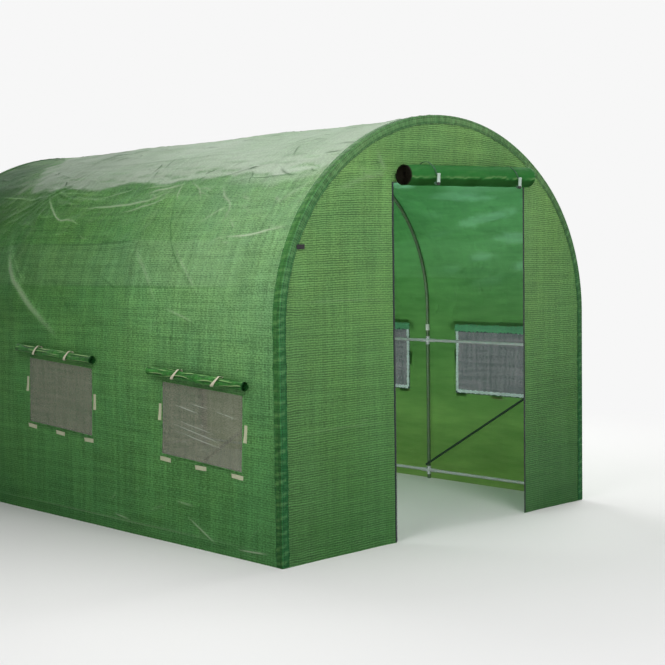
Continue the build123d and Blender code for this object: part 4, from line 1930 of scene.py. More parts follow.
@dataclass(frozen=True)
class SideCover:
    """The film over one side, from the ground up over the arch to the ridge."""

    side: Side
    tunnel: Tunnel
    row: WindowRow
    cell: float
    seen_folds: tuple[Crease, ...] = ()
    film: float = 0.0009
    calm_by_windows: Span = (0.012, 0.06)

    def folds(self) -> list[Crease]:
        """Every fold of this side: those listed, fans at the held places and strewn ones."""
        draw = np.random.default_rng(11 if self.side is Side.LEFT else 23)
        length, ridge = self.tunnel.length, self.tunnel.arch.ridge_up
        tie = self.tunnel.arch.shoulder_up
        made = list(self.seen_folds)
        hoops = [hoop - self.tunnel.front_y for hoop in self.tunnel.hoops]
        first_fan = 2 if self.side is Side.LEFT else 1
        for hoop in hoops[first_fan:-1]:
            made += fan((hoop, tie), (0.16, 0.5), (-172, -160, -143, -118, -92, -64, -40, -22, -8), draw)
            made += fan((hoop, tie), (0.1, 0.25), (160, 128, 84, 40, 16), draw)
        for hoop, headings in ((hoops[0], (-70, -40, -14, 14)), (hoops[-1], (-110, -140, -166, 166))):
            made += fan((hoop, tie), (0.12, 0.34), headings, draw)
        roof_low, roof_high = (0.06, tie + 0.01), (length - 0.06, ridge - 0.03)
        fields = (
            CreaseField(
                110, roof_low, roof_high, length=(0.04, 0.15), heading=(8, 150), height=(0.001, 0.0028),
                width=(0.004, 0.0065), pale=(-0.75, 0.25),
            ),
            CreaseField(
                30, roof_low, roof_high, length=(0.12, 0.3), heading=(4, 50), height=(0.0015, 0.0034),
                width=(0.005, 0.009), pale=(-0.5, 0.2),
            ),
            CreaseField(
                120, (0.06, 0.82), (length - 0.06, tie - 0.03), length=(0.05, 0.22), heading=(118, 70),
                height=(0.0012, 0.0034), width=(0.006, 0.014), pale=(-0.1, 0.08),
            ),
            CreaseField(
                60, (0.08, 1.3), (length - 0.06, tie - 0.02), length=(0.04, 0.16), heading=(12, 60),
                height=(0.0014, 0.0034), width=(0.005, 0.009), pale=(-0.1, 0.3),
            ),
            CreaseField(
                20, (0.08, 0.04), (length - 0.08, 0.22), length=(0.05, 0.16), heading=(150, 60),
                height=(0.001, 0.002), width=(0.005, 0.009), pale=(0.0, 0.12),
            ),
        )
        for creases in fields:
            made += creases.strewn(draw)
        made += self.packing_lines(length)
        return made

    def packing_lines(self, length: float) -> list[Crease]:
        """The straight creases that the film keeps from its packet, and the sewn foot line."""
        made = [Crease(((0.05, 0.052), (length - 0.05, 0.052)), 0.0012, 0.0045, 0.16)]
        # Paleness below 0 paints shade along a fold, above 0 whitening with a painted highlight.
        for up, (start, stop), pale in (
            (1.325, (0.8, 1.95), -0.3), (1.11, (0.05, 1.75), -0.24), (0.89, (0.03, 1.0), -0.2),
            (0.63, (1.8, 2.8), -0.1), (1.9, (0.3, 2.2), -0.16), (2.15, (0.5, 2.7), 0.1),
        ):
            path = ((start, up), ((start + stop) / 2, up - 0.006), (stop, up))
            made.append(Crease(path, 0.0016, 0.006, pale))
        for along, low, high in ((0.62, 0.95, 1.6), (1.24, 0.1, 1.5), (1.95, 0.9, 1.6), (2.5, 0.2, 1.5)):
            made.append(Crease(((along, low), (along + 0.004, high)), 0.0013, 0.006, -0.08))
        return made

    def build(self, finishes: Finishes) -> None:
        """Cut, fold and lay the film.

        Args:
            finishes: The tunnel's finishes.
        """
        length, ridge = self.tunnel.length, self.tunnel.arch.ridge_up
        sheet = np.array([(0, 0), (length, 0), (length, ridge), (0, ridge)], float)

        def depth(flat: np.ndarray) -> np.ndarray:
            """How far inside the film's edges each place lies."""
            inside = np.minimum(flat, np.array([length, ridge]) - flat).min(1)
            return np.minimum(inside, self.row.outside(flat))

        loops = [sheet, *[self.row.outline(centre) for centre in self.row.centres]]
        pattern = FilmPattern(loops, depth, self.cell, self.folds())
        flat, faces = pattern.triangles()
        pressed, pale = pattern.pressed(flat)
        along, up = flat.T
        free = smooth_step(self.row.outside(flat), *self.calm_by_windows)
        free = free * smooth_step(ridge - up, 0.0, 0.05)
        ends = smooth_step(np.minimum(along, length - along), 0.035, 0.09)
        between = np.abs(np.sin(math.pi * np.clip(up / self.tunnel.waist_rail, 0, 1)))
        seed = 5 if self.side is Side.LEFT else 9
        on_arch = smooth_step(up, 0.8, 1.0)
        waves = 0.0026 * between * ripple(flat, 0.42, seed, (20, 90))
        broad = 0.0022 * ripple(flat, 0.16, seed + 1, (115, 60))
        waves = waves + on_arch * (broad + 0.0011 * ripple(flat, 0.07, seed + 2, (100, 90)))
        shoulder = self.tunnel.arch.shoulder_up
        on_roof = smooth_step(up, shoulder - 0.02, shoulder + 0.05)
        waves = waves * (1 - 0.5 * on_roof) + on_roof * 0.0004 * ripple(flat, 0.06, seed + 3, (10, 60))
        # Over a tube joint the film only ever stands out, so nothing pokes through it.
        folds = self.over_joints(flat) * (waves + np.minimum(pressed, 0)) + np.maximum(pressed, 0)
        lift = self.tunnel.hang(flat) + free * ends * folds
        points, outward = self.tunnel.over_side(self.side, flat, lift)
        # Painted shade darkens the film towards the back.
        pale = np.clip(1.35 * pale * free, -1, 1) - self.shade(flat)
        piece = mesh_piece(
            f"{self.side.word}_cover", points, facing(points, faces, outward),
            [finishes.side_film, finishes.side_lining], flat,
            {"pale": pale, "bleach_and_sheen": self.bleach_and_sheen(flat, seed)},
        )
        thicken(piece, self.film, lining=1)
        word = self.side.word
        settle(piece, [f"{word}_wall_cover", f"{word}_shoulder_cover", f"{word}_roof_cover"])

    def over_joints(self, flat: np.ndarray) -> np.ndarray:
        """How free the film is to wave: 0 right over a tube joint and 1 away from them all.

        Args:
            flat: Places on the film.

        Returns:
            A share for each place.
        """
        along, up = flat.T
        tunnel = self.tunnel
        arch = tunnel.arch
        calm = np.ones(len(flat))
        for hoop in tunnel.hoops:
            for rail in (tunnel.base_rail, tunnel.waist_rail, arch.shoulder_rail_up, arch.ridge_up):
                near = ((along - hoop + tunnel.front_y) / 0.07) ** 2 + ((up - rail) / 0.045) ** 2
                calm = np.minimum(calm, smooth_step(near, 0.5, 1.6))
        return calm

    def from_back(self, flat: np.ndarray) -> np.ndarray:
        """How far each place lies from a line that leans forward down the arch from the back's top."""
        along, up = flat.T
        arch = self.tunnel.arch
        over = np.clip((up - arch.shoulder_up) / (arch.ridge_up - arch.shoulder_up), 0, 1)
        return self.tunnel.length - along - 0.5 * (1 - over)

    def shade(self, flat: np.ndarray) -> np.ndarray:
        """How dark the film is painted with shade: towards the back, and most over the arch.

        Args:
            flat: Places on the film.

        Returns:
            A share for each place.
        """
        along, up = flat.T
        by_back = 1 - smooth_step(self.from_back(flat), 0.02, 0.42)
        high = 0.72 * smooth_step(up, 0.95, 1.5) * by_back
        towards_back = 1 - smooth_step(self.tunnel.length - along, 0.5, 2.1)
        wall = (0.12 + 0.3 * smooth_step(up, 0.75, 1.0)) * towards_back
        spots = 1 + 0.12 * ripple(flat, 0.4, 77) + 0.06 * ripple(flat, 0.13, 78)
        return np.clip(np.maximum(high, wall) * spots, 0, 0.85)

    def bleach_and_sheen(self, flat: np.ndarray, seed: int) -> np.ndarray:
        """How pale the film is painted with sky sheen, with some sun-bleaching: over the roof, with an
        uneven lower edge, and less towards the shaded back.

        Args:
            flat: Places on the film.
            seed: Picks the unevenness.

        Returns:
            A share for each place.
        """
        along, up = flat.T
        arch = self.tunnel.arch
        long_way = np.column_stack([0.45 * along, up])
        edge = arch.shoulder_up + 0.028 + 0.01 * ripple(flat, 0.5, seed + 4, (0, 30))
        edge = edge + 0.006 * ripple(flat, 0.19, seed + 6, (5, 40))
        roof = smooth_step(up - edge, -0.006, 0.012)
        blotch = smooth_step(ripple(long_way, 0.055, seed + 8, (86, 70)), 0.3, 0.95)
        blotch = blotch * np.exp(-np.clip(up - edge, 0, 1) / 0.14)
        cloudy = 0.9 + 0.1 * ripple(flat, 0.3, seed + 5) - 0.5 * blotch
        from_back = self.from_back(flat) + 0.06 * ripple(flat, 0.16, seed + 7)
        by_back = smooth_step(from_back, 0.12, 0.26)
        # Painted light: a paler strip just below the roof's edge near the front, and paler film higher up
        # the front of the wall.
        by_front = 0.5 * smooth_step(up - edge, -0.11, -0.02) * smooth_step(-along, -0.85, -0.45)
        sky = 0.2 * smooth_step(up, 0.3, arch.shoulder_up) * smooth_step(-along, -1.4, -0.3)
        # Two packing lines bound a band that has stayed a little paler.
        lower_line, upper_line = (1.104, 1.114), (1.318, 1.328)
        band = smooth_step(up, *lower_line) * (1 - smooth_step(up, *upper_line))
        band = 0.07 * band * smooth_step(along, 0.1, 0.6)
        sheen_and_bleach_share = np.maximum(roof * cloudy, np.maximum(by_front, sky) + band) * by_back
        # Painted sheen: pale patches high on the front of the right side, seen from inside.
        if self.side is Side.RIGHT:
            haze = smooth_step(ripple(long_way, 0.1, seed + 9, (90, 75)), 0.3, 1.0)
            sheen_and_bleach_share = sheen_and_bleach_share + 0.4 * haze * smooth_step(up, 1.0, 1.2) * smooth_step(-along, -1.1, -0.5)
        return np.clip(sheen_and_bleach_share, 0, 1)


@dataclass(frozen=True)
class EndPanel:
    """The film that closes one end, with the doorway cut out of the front one."""

    end: End
    tunnel: Tunnel
    cell: float
    film: float = 0.0009
    inset: float = 0.0028

    @property
    def has_door(self) -> bool:
        """Whether the doorway is in this end."""
        return self.end is End.FRONT

    def outline(self) -> np.ndarray:
        """The panel's edge, up from the left foot over the arch and round the doorway."""
        ups = np.linspace(0, self.tunnel.arch.ridge_up, 190)
        places, out = self.tunnel.arch.section(ups)
        right = places - self.inset * out
        left = right[:-1] * (-1, 1)
        foot = []
        if self.has_door:
            left_x, right_x, top = self.tunnel.door_left, self.tunnel.door_right, self.tunnel.door_top
            foot = [(right_x, 0.0), (right_x, top), (left_x, top), (left_x, 0.0)]
        return np.vstack([left, right[::-1], *[np.array([corner]) for corner in foot]])

    def by_door(self, flat: np.ndarray) -> np.ndarray:
        """How far outside the doorway each place lies."""
        if not self.has_door:
            return np.full(len(flat), 10.0)
        x, z = flat.T
        over = np.array([self.tunnel.door_left - x, x - self.tunnel.door_right, z - self.tunnel.door_top])
        return over.max(0)

    def folds(self) -> list[Crease]:
        """Tension folds at the doorway's corners, creases from the packet and small strewn ones."""
        draw = np.random.default_rng(31 if self.has_door else 37)
        made = []
        if self.has_door:
            left_x, right_x, top = self.tunnel.door_left, self.tunnel.door_right, self.tunnel.door_top
            made += fan((left_x - 0.03, top + 0.03), (0.14, 0.36), (150, 128, 172, 196), draw)
            made += fan((right_x + 0.03, top + 0.03), (0.1, 0.24), (30, 52, 8, -16), draw)
            made.append(Crease(((-0.52, 0.02), (-0.5, 0.5), (-0.515, 1.2)), 0.001, 0.007, -0.08))
        for z in (0.52, 1.04, 1.5):
            made.append(Crease(((-0.96, z), (-0.6, z + 0.004), (-0.37, z)), 0.001, 0.006, 0.08))
        made += CreaseField(
            46, (-0.95, 0.05), (0.95, 1.7), length=(0.04, 0.16), heading=(160, 60), height=(0.0005, 0.0012),
            width=(0.005, 0.008), pale=(-0.06, 0.1),
        ).strewn(draw)
        if not self.has_door:
            for x in (-0.5, 0.0, 0.5):
                made.append(Crease(((x, 0.04), (x + 0.005, 1.6)), 0.0014, 0.006, 0.1))
        return made

    def damp(self, flat: np.ndarray) -> np.ndarray:
        """How dark the panel is painted with shade: at its foot, and most on its right side.

        Args:
            flat: Places on the panel.

        Returns:
            A share for each place.
        """
        right = smooth_step(flat[:, 0], 0.3, 0.75)
        cloudy = 1 + 0.25 * ripple(flat, 0.3, 63, (90, 80))
        return 0.3 * right * (1 - smooth_step(flat[:, 1], 0.25, 1.0)) * cloudy

    def warped(self, flat: np.ndarray) -> np.ndarray:
        """The pattern's places, with the ribs pulled askew towards the arch.

        Args:
            flat: Places on the panel.

        Returns:
            Where each lies on the undistorted grid of threads.
        """
        rim = np.exp(-self.tunnel.arch.depth(flat[:, 0], flat[:, 1]) / 0.14)
        pull = 0.0016 * ripple(flat, 0.33, 51) + 0.003 * rim * ripple(flat, 0.11, 52)
        drift = 0.03 * rim * smooth_step(flat[:, 1], 1.0, 1.5)
        return flat + np.column_stack([0.6 * pull, pull + drift])

    def build(self, finishes: Finishes) -> None:
        """Cut, fold and hang the panel.

        Args:
            finishes: The tunnel's finishes.
        """
        def depth(flat: np.ndarray) -> np.ndarray:
            """How far inside the panel's edges each place lies."""
            inside = self.tunnel.arch.depth(flat[:, 0], flat[:, 1]) - self.inset
            return np.minimum(np.minimum(inside, flat[:, 1]), self.by_door(flat))

        pattern = FilmPattern([self.outline()], depth, self.cell, self.folds())
        flat, faces = pattern.triangles()
        pressed, pale = pattern.pressed(flat)
        rim = self.tunnel.arch.depth(flat[:, 0], flat[:, 1])
        free = smooth_step(rim, 0.048, 0.12) * smooth_step(self.by_door(flat), 0.012, 0.07)
        gathers = smooth_step(rim, 0.046, 0.07) * np.exp(-rim / 0.07)
        lift = free * (pressed - 0.004 + 0.0035 * ripple(flat, 0.5, 61, (0, 60)))
        lift = lift + 0.0022 * gathers * ripple(flat, 0.05, 62) - 0.0004
        lift = lift * smooth_step(flat[:, 1], -0.05, 0.03)
        y = self.tunnel.face_y(self.end) + self.end.value * lift
        points = np.column_stack([flat[:, 0], y, flat[:, 1]])
        # Painted shade darkens the panel's foot, most on its right side.
        piece = mesh_piece(
            f"{self.end.word}_panel_film", points, facing(points, faces, (0.0, self.end.value, 0.0)),
            [finishes.end_film, finishes.end_lining], self.warped(flat),
            {"pale": pale * free - self.damp(flat)},
        )
        thicken(piece, self.film, lining=1)
        with_door = ["front_left_panel", "front_right_panel", "front_top_panel"]
        settle(piece, with_door if self.has_door else ["back_panel"])


@dataclass(frozen=True)
class HemBand:
    """The doubled, gathered edge of the cover round one end, with its rows of stitches."""

    end: End
    tunnel: Tunnel
    width: float = 0.036
    foot: float = 0.004
    lift: float = 0.0017
    gather: float = 0.0026
    step: float = 0.0075
    film: float = 0.0011
    bend: float = 0.004
    rows_across: tuple[float, ...] = (0, 0.06, 0.2, 0.38, 0.57, 0.74, 0.86, 0.96)
    stitch_pitch: float = 0.011
    stitch_radius: float = 0.0011
    stitch_half_length: float = 0.0037

    @property
    def full_run(self) -> float:
        """The way from the left foot over the ridge to the right foot."""
        return 2 * (self.tunnel.arch.ridge_up - self.foot)

    def surface(self, run: np.ndarray, over: np.ndarray, lift: np.ndarray) -> tuple[np.ndarray, np.ndarray]:
        """Places on the band.

        Args:
            run: The way from the left foot.
            over: The way across the band: the side part up to its width, and then the end part.
            lift: How far each place stands off.

        Returns:
            The points, and the outward direction at each.
        """
        left = run < self.full_run / 2
        up = self.foot + np.where(left, run, self.full_run - run)
        places, out = self.tunnel.arch.section(np.clip(up, self.foot, self.tunnel.arch.ridge_up))
        turn = np.clip((over - self.width + self.bend / 2) / self.bend, 0, 1) * math.pi / 2
        inset = np.clip(over - self.width, 0, None)
        back = np.clip(self.width - over, 0, None)
        off = lift[:, None] * np.column_stack([np.cos(turn), np.sin(turn)])
        places = places - out * (inset - off[:, 0])[:, None]
        sign = np.where(left, -1, 1)
        face_y = self.tunnel.face_y(self.end)
        y = face_y - self.end.value * back + self.end.value * off[:, 1]
        points = np.column_stack([sign * places[:, 0], y, places[:, 1]])
        outward = np.column_stack([
            sign * out[:, 0] * np.cos(turn), self.end.value * np.sin(turn), out[:, 1] * np.cos(turn)
        ])
        return points, outward

    def relief(self, run: np.ndarray, over: np.ndarray) -> np.ndarray:
        """How far the gathered band stands off at each place."""
        flat = np.column_stack([run, 0.35 * over])
        seed = 81 if self.end is End.FRONT else 91
        part = np.where(over < self.width, over, over - self.width) / self.width
        pinned = np.sin(math.pi * np.clip(part * 1.25, 0, 1))
        pinned = pinned + 0.35 * np.sin(math.pi * np.clip(part * 5 - 4, 0, 1))
        puffs = 0.5 + 0.5 * ripple(flat, 0.034, seed, (0, 50))
        return self.lift + self.gather * pinned * np.clip(puffs, 0, 1.3)

    def build(self, finishes: Finishes) -> None:
        """Sew the band on.

        Args:
            finishes: The tunnel's finishes.
        """
        run = np.append(np.arange(0, self.full_run, self.step), self.full_run)
        over = np.array([share * self.width for share in self.rows_across])
        over = np.concatenate([over, [self.width], (2 * self.width - over)[::-1]])
        wander = 0.0018 * ripple(np.column_stack([run, run]), 0.09, 83)
        r, o = np.meshgrid(run, over, indexing="ij")
        on_end, on_side = np.clip(o / self.width - 1, 0, 1), np.clip(1 - o / self.width, 0, 1)
        o = o + wander[:, None] * on_end - wander[:, None] * on_side
        r, o = r.ravel(), o.ravel()
        points, outward = self.surface(r, o, self.relief(r, o))
        faces = facing(points, grid_faces(len(run), len(over)), outward)
        pale = 0.35 * np.clip(ripple(np.column_stack([r, o]), 0.03, 85, (0, 60)), 0, 1)
        pale = pale - 0.5 * np.exp(-(((o / self.width % 1 - 0.8) / 0.05) ** 2))
        name = f"{self.end.word}_hem_band"
        materials = [finishes.hem_film, finishes.hem_return]
        piece = mesh_piece(name, points, faces, materials, np.column_stack([r, o]), {"pale": pale})
        piece.data.polygons.foreach_set("material_index", (o[faces].mean(1) > self.width).astype(int))
        thicken(piece, self.film)
        settle(piece, [f"{self.end.word}_hem"])
        self.stitches("inner", (0.8, 1.2, 1.94), finishes.dark_thread)
        self.stitches("outer", (0.06, 1.05, 1.8), finishes.bright_thread)

    def stitches(self, kind: str, rows: Sequence[float], material: bpy.types.Material) -> None:
        """Run rows of stitches along the band.

        Args:
            kind: The rows' name.
            rows: How far across the band each row runs, in widths of its side part.
            material: The thread's finish.
        """
        bpy.ops.object.select_all(action="DESELECT")
        bpy.ops.mesh.primitive_uv_sphere_add(segments=4, ring_count=3, radius=1)
        model = bpy.context.object
        model.scale = (self.stitch_radius, self.stitch_radius, self.stitch_half_length)
        bpy.ops.object.transform_apply(scale=True)
        model.data.materials.append(material)
        places = []
        for row in rows:
            run = np.arange(0.01, self.full_run - 0.01, self.stitch_pitch)
            here = np.full(len(run), row * self.width)
            points, outward = self.surface(run, here, self.relief(run, here) + 0.0003)
            ahead, _ = self.surface(run + 0.002, here, self.relief(run + 0.002, here) + 0.0003)
            for point, out, on in zip(points, outward, ahead):
                z_axis = Vector(on - point).normalized()
                y_axis = Vector(out).normalized()
                x_axis = y_axis.cross(z_axis).normalized()
                turn = standing(x_axis, z_axis.cross(x_axis), z_axis)
                places.append(Matrix.Translation(Vector(point)) @ turn)
        settle(copied(model, f"{self.end.word}_hem_{kind}_stitches", places))


@dataclass(frozen=True)
class Doorway:
    """The rolled door with its cords and cord locks, and the zips down the doorway's edges."""

    tunnel: Tunnel
    roll_radius: float
    roll_y: float
    roll_z: float
    ends: Span
    tie_places: Span
    zip_width: float = 0.009
    zip_foot: float = 0.004
    zip_film: float = 0.0006
    tooth_pitch: float = 0.0052
    tooth_size: tuple[float, float, float] = (0.0034, 0.0016, 0.0024)
    toggle_radius: float = 0.0085
    toggle_length: float = 0.036
    cord_radius: float = 0.0012
    lock_drops: Span = (0.021, 0.022)

    @classmethod
    def from_frame(cls, tunnel: Tunnel) -> "Doorway":
        """Read the roll's and the ties' places from the nodes.

        Args:
            tunnel: The tunnel.

        Returns:
            The doorway.
        """
        low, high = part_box("door_roll")
        ties_low, ties_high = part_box("door_ties")
        half_tie = 0.005
        fuller, forward, raised = 0.003, 0.005, 0.002
        left_overhang, right_overhang = 0.012, 0.003
        left_tie_in, right_tie_in = half_tie + 0.009, half_tie + 0.007
        return cls(
            tunnel, (high.z - low.z) / 2 + fuller, (low.y + high.y) / 2 - forward,
            (low.z + high.z) / 2 + raised, (low.x - left_overhang, high.x + right_overhang),
            (ties_low.x + left_tie_in, ties_high.x - right_tie_in),
        )

    @property
    def place(self) -> Place:
        """The doorway's local frame, on the ground at the middle of the front face."""
        return Place((0, self.tunnel.front_y, 0), (1, 0, 0), (0, -1, 0), (0, 0, 1))

    def rolled_door(self, finishes: Finishes) -> None:
        """Roll up the door above the doorway."""
        rolled = RolledFlap(
            "door_flap_roll", self.place, self.ends, (self.tunnel.front_y - self.roll_y, self.roll_z),
            self.roll_radius + 0.0016, roll_shade_radius=0.012, turns=7.6, hang_height=0.018, recess=0.003,
            slack=0.0018, seed=130, dents=0.0008, streaks=0.12, round_end=0.026, hung_share=0.86,
            lap_angle=-14, tilt=0.008, flare=0.025, steps_round=56, steps_along=72,
        )
        piece = rolled.build(finishes.roll_film, lambda local: np.full(len(local), 0.0004))
        settle(piece, ["door_roll"])

    def cords(self, finishes: Finishes) -> None:
        """Loop a thin cord round the roll at each tie, through its lock."""
        reach = self.roll_radius + self.cord_radius + 0.0022
        parts = []
        for x in self.tie_places:
            for lean, offset in ((-0.021, -0.002), (-0.017, 0.0025)):
                sewn = (x + offset + lean, self.tunnel.front_y - 0.002, self.roll_z + 0.6 * self.roll_radius)
                line = [sewn]
                # From behind the roll's top round its front, and down to the lock.
                for turn in np.radians(np.linspace(148, -8, 19)):
                    share = min(1.0, math.sin(turn) + 0.14) if turn < math.pi / 2 else 1.0
                    line.append((
                        x + offset * (1 - share) + lean * share, self.roll_y - reach * math.cos(turn),
                        self.roll_z + reach * math.sin(turn),
                    ))
                parts.append(self.round_cord(line, self.cord_radius, 6))
        parts += [self.knot(x, drop) for x, drop in zip(self.tie_places, self.lock_drops)]
        bpy.ops.object.select_all(action="DESELECT")
        for part in parts:
            bpy.context.scene.collection.objects.link(part)
            part.select_set(True)
        bpy.context.view_layer.objects.active = parts[0]
        bpy.ops.object.convert(target="MESH")
        bpy.ops.object.join()
        piece = bpy.context.object
        piece.name = "door_tie_cords"
        piece.data.name = piece.name
        piece.data.materials.clear()
        piece.data.materials.append(finishes.cord)
        piece.data.shade_smooth()
        settle(piece, ["door_ties"])

    @staticmethod
    def round_cord(
        line: Sequence[Sequence[float]], radius: float, steps: int, closed: bool = False
    ) -> bpy.types.Object:
        """A cord along a smooth line.

        Args:
            line: The places that guide the line.
            radius: The cord's radius.
            steps: How finely each stretch between two places is drawn.
            closed: Whether the line joins its own start.

        Returns:
            The cord, as a curve.
        """
        curve = bpy.data.curves.new("door cord", "CURVE")
        curve.dimensions = "3D"
        curve.bevel_depth = radius
        curve.bevel_resolution = 2
        curve.resolution_u = steps
        spline = curve.splines.new("NURBS")
        spline.points.add(len(line) - 1)
        for point, where in zip(spline.points, line):
            point.co = (*where, 1)
        spline.order_u = 3
        spline.use_cyclic_u = closed
        spline.use_endpoint_u = not closed
        return bpy.data.objects.new("door cord", curve)

    def knot(self, x: float, drop: float) -> bpy.types.Object:
        """Knot the cord's two ends under its lock.

        Args:
            x: The tie's place.
            drop: How far the lock hangs below the roll's middle.

        Returns:
            The knot, as a curve.
        """
        middle = Vector((x - 0.011, self.roll_y - self.roll_radius - 0.0068, self.roll_z - drop - 0.022))
        line = []
        for turn in np.linspace(0, 2 * math.pi, 17)[:-1]:
            across = math.sin(turn) + 2 * math.sin(2 * turn)
            up = math.cos(turn) - 2 * math.cos(2 * turn)
            away = -math.sin(3 * turn)
            line.append(middle + 0.0024 * Vector((1.3 * across, 1.2 * away, up)))
        return self.round_cord(line, 1.5 * self.cord_radius, 5, closed=True)

    def cord_locks(self, finishes: Finishes) -> None:
        """Hang a pale lock with a dark button on each cord."""
        radius, length = self.toggle_radius, self.toggle_length
        bpy.ops.object.select_all(action="DESELECT")
        bpy.ops.mesh.primitive_cylinder_add(vertices=20, radius=radius, depth=length)
        model = bpy.context.object
        model.data.materials.append(finishes.toggle_plastic)
        model.data.materials.append(finishes.black_plastic)
        pick(model, lambda face: face.normal.z > 0.9)
        bpy.ops.mesh.inset(thickness=0.0016)
        push_out(0.003)
        bpy.ops.mesh.inset(thickness=0.0014)
        push_out(-0.002)
        pick(model, lambda face: face.normal.z < -0.9)
        bpy.ops.mesh.inset(thickness=0.0013)
        push_out(-0.011)
        bpy.ops.mesh.bevel(offset=0.0012, segments=2)
        bpy.ops.object.mode_set(mode="OBJECT")
        for face in model.data.polygons:
            face.material_index = int(face.center.z < -length / 2 - 0.0002)
        pick(model, lambda face: abs(face.normal.z) < 0.3 and abs(face.center.z) < 0.4 * length)
        bpy.ops.mesh.inset(thickness=0.004)
        bpy.ops.transform.resize(value=(0.84, 0.84, 1))
        bpy.ops.object.mode_set(mode="OBJECT")
        bevelled(model, 0.0007, 2, 40)
        y = self.roll_y - self.roll_radius - radius - 0.0038
        tilt = Matrix.Rotation(math.radians(4), 4, "Y")
        places = [
            Matrix.Translation((x, y, self.roll_z - drop)) @ tilt
            for x, drop in zip(self.tie_places, self.lock_drops)
        ]
        settle(copied(model, "door_cord_locks", places), ["door_toggles"])

    def zips(self, finishes: Finishes) -> None:
        """Run a zip down each edge of the doorway: its tape and its teeth."""
        top = self.tunnel.door_top - 0.001
        edges = ((self.tunnel.door_left, -1), (self.tunnel.door_right, 1))
        ups = np.linspace(self.zip_foot, top, 150)
        across = np.array([0.0, 0.15, 0.5, 0.85, 1.0])
        rise = np.array([0.0, 0.0007, 0.0009, 0.0007, 0.0])
        quads = grid_faces(len(ups), len(across))
        patches = []
        for edge, outward in edges:
            wave = 0.0007 * ripple(np.column_stack([ups, ups]), 0.12, 140 + outward)
            u, a = np.meshgrid(ups, across, indexing="ij")
            x = edge + outward * (a * self.zip_width) + wave[:, None]
            y = self.tunnel.front_y - 0.0003 - np.tile(rise, (len(ups), 1))
            points = np.stack([x, y, u], 2).reshape(-1, 3)
            patches.append((points, facing(points, quads, (0.0, -1.0, 0.0))))
        tape = mesh_piece("door_zip_tapes", *joined(patches), [finishes.zip_tape])
        thicken(tape, self.zip_film)
        settle(tape, ["door_zips"])
        tooth = started_box(self.tooth_size)
        edit_all(bpy.ops.mesh.bevel, offset=0.0004, segments=1)
        tooth.data.materials.append(finishes.black_plastic)
        places = []
        for edge, outward in edges:
            for up in np.arange(self.zip_foot + 0.004, top, self.tooth_pitch):
                where = (edge - outward * 0.0009, self.tunnel.front_y - 0.0012, up)
                places.append(Matrix.Translation(where))
        settle(copied(tooth, "door_zip_teeth", places))

    def build(self, finishes: Finishes) -> None:
        """Make every piece of the doorway.

        Args:
            finishes: The tunnel's finishes.
        """
        self.rolled_door(finishes)
        self.cords(finishes)
        self.cord_locks(finishes)
        self.zips(finishes)


@dataclass(frozen=True)
class HemTab:
    """A small black webbing tab sewn to the front hem, left of the doorway."""

    tunnel: Tunnel
    up: float = 1.272
    length: float = 0.042
    width: float = 0.019
    thickness: float = 0.0016
    from_edge: float = 0.03
    bulge: float = 0.004

    def build(self, finishes: Finishes) -> None:
        """Model the tab, and set it on the hem with a small one round the corner.

        Args:
            finishes: The tunnel's finishes.
        """
        tab = started_box((self.length, self.thickness, self.width))
        edit_all(bpy.ops.mesh.subdivide, number_cuts=5)
        for vertex in tab.data.vertices:
            share = vertex.co.x / self.length + 0.5
            vertex.co.y -= self.bulge * math.sin(math.pi * share)
            vertex.co.z += 0.0012 * math.sin(40 * vertex.co.x)
        bevelled(tab, 0.0005, 1, 50)
        tab.data.materials.append(finishes.webbing)
        places, _ = self.tunnel.arch.section(np.array([self.up]))
        x, z = float(places[0, 0]), float(places[0, 1])
        middle = -x + self.from_edge + self.length / 2
        front = Matrix.Translation((middle, self.tunnel.front_y - 0.0042, z))
        side = Matrix.Translation((-x - 0.0035, self.tunnel.front_y + 0.03, z - 0.012))
        side = side @ Matrix.Rotation(math.radians(90), 4, "Z") @ Matrix.Rotation(math.radians(24), 4, "X")
        small = Matrix.Diagonal((0.55, 1, 0.7, 1))
        settle(copied(tab, "front_hem_tab", [front, side @ small]))


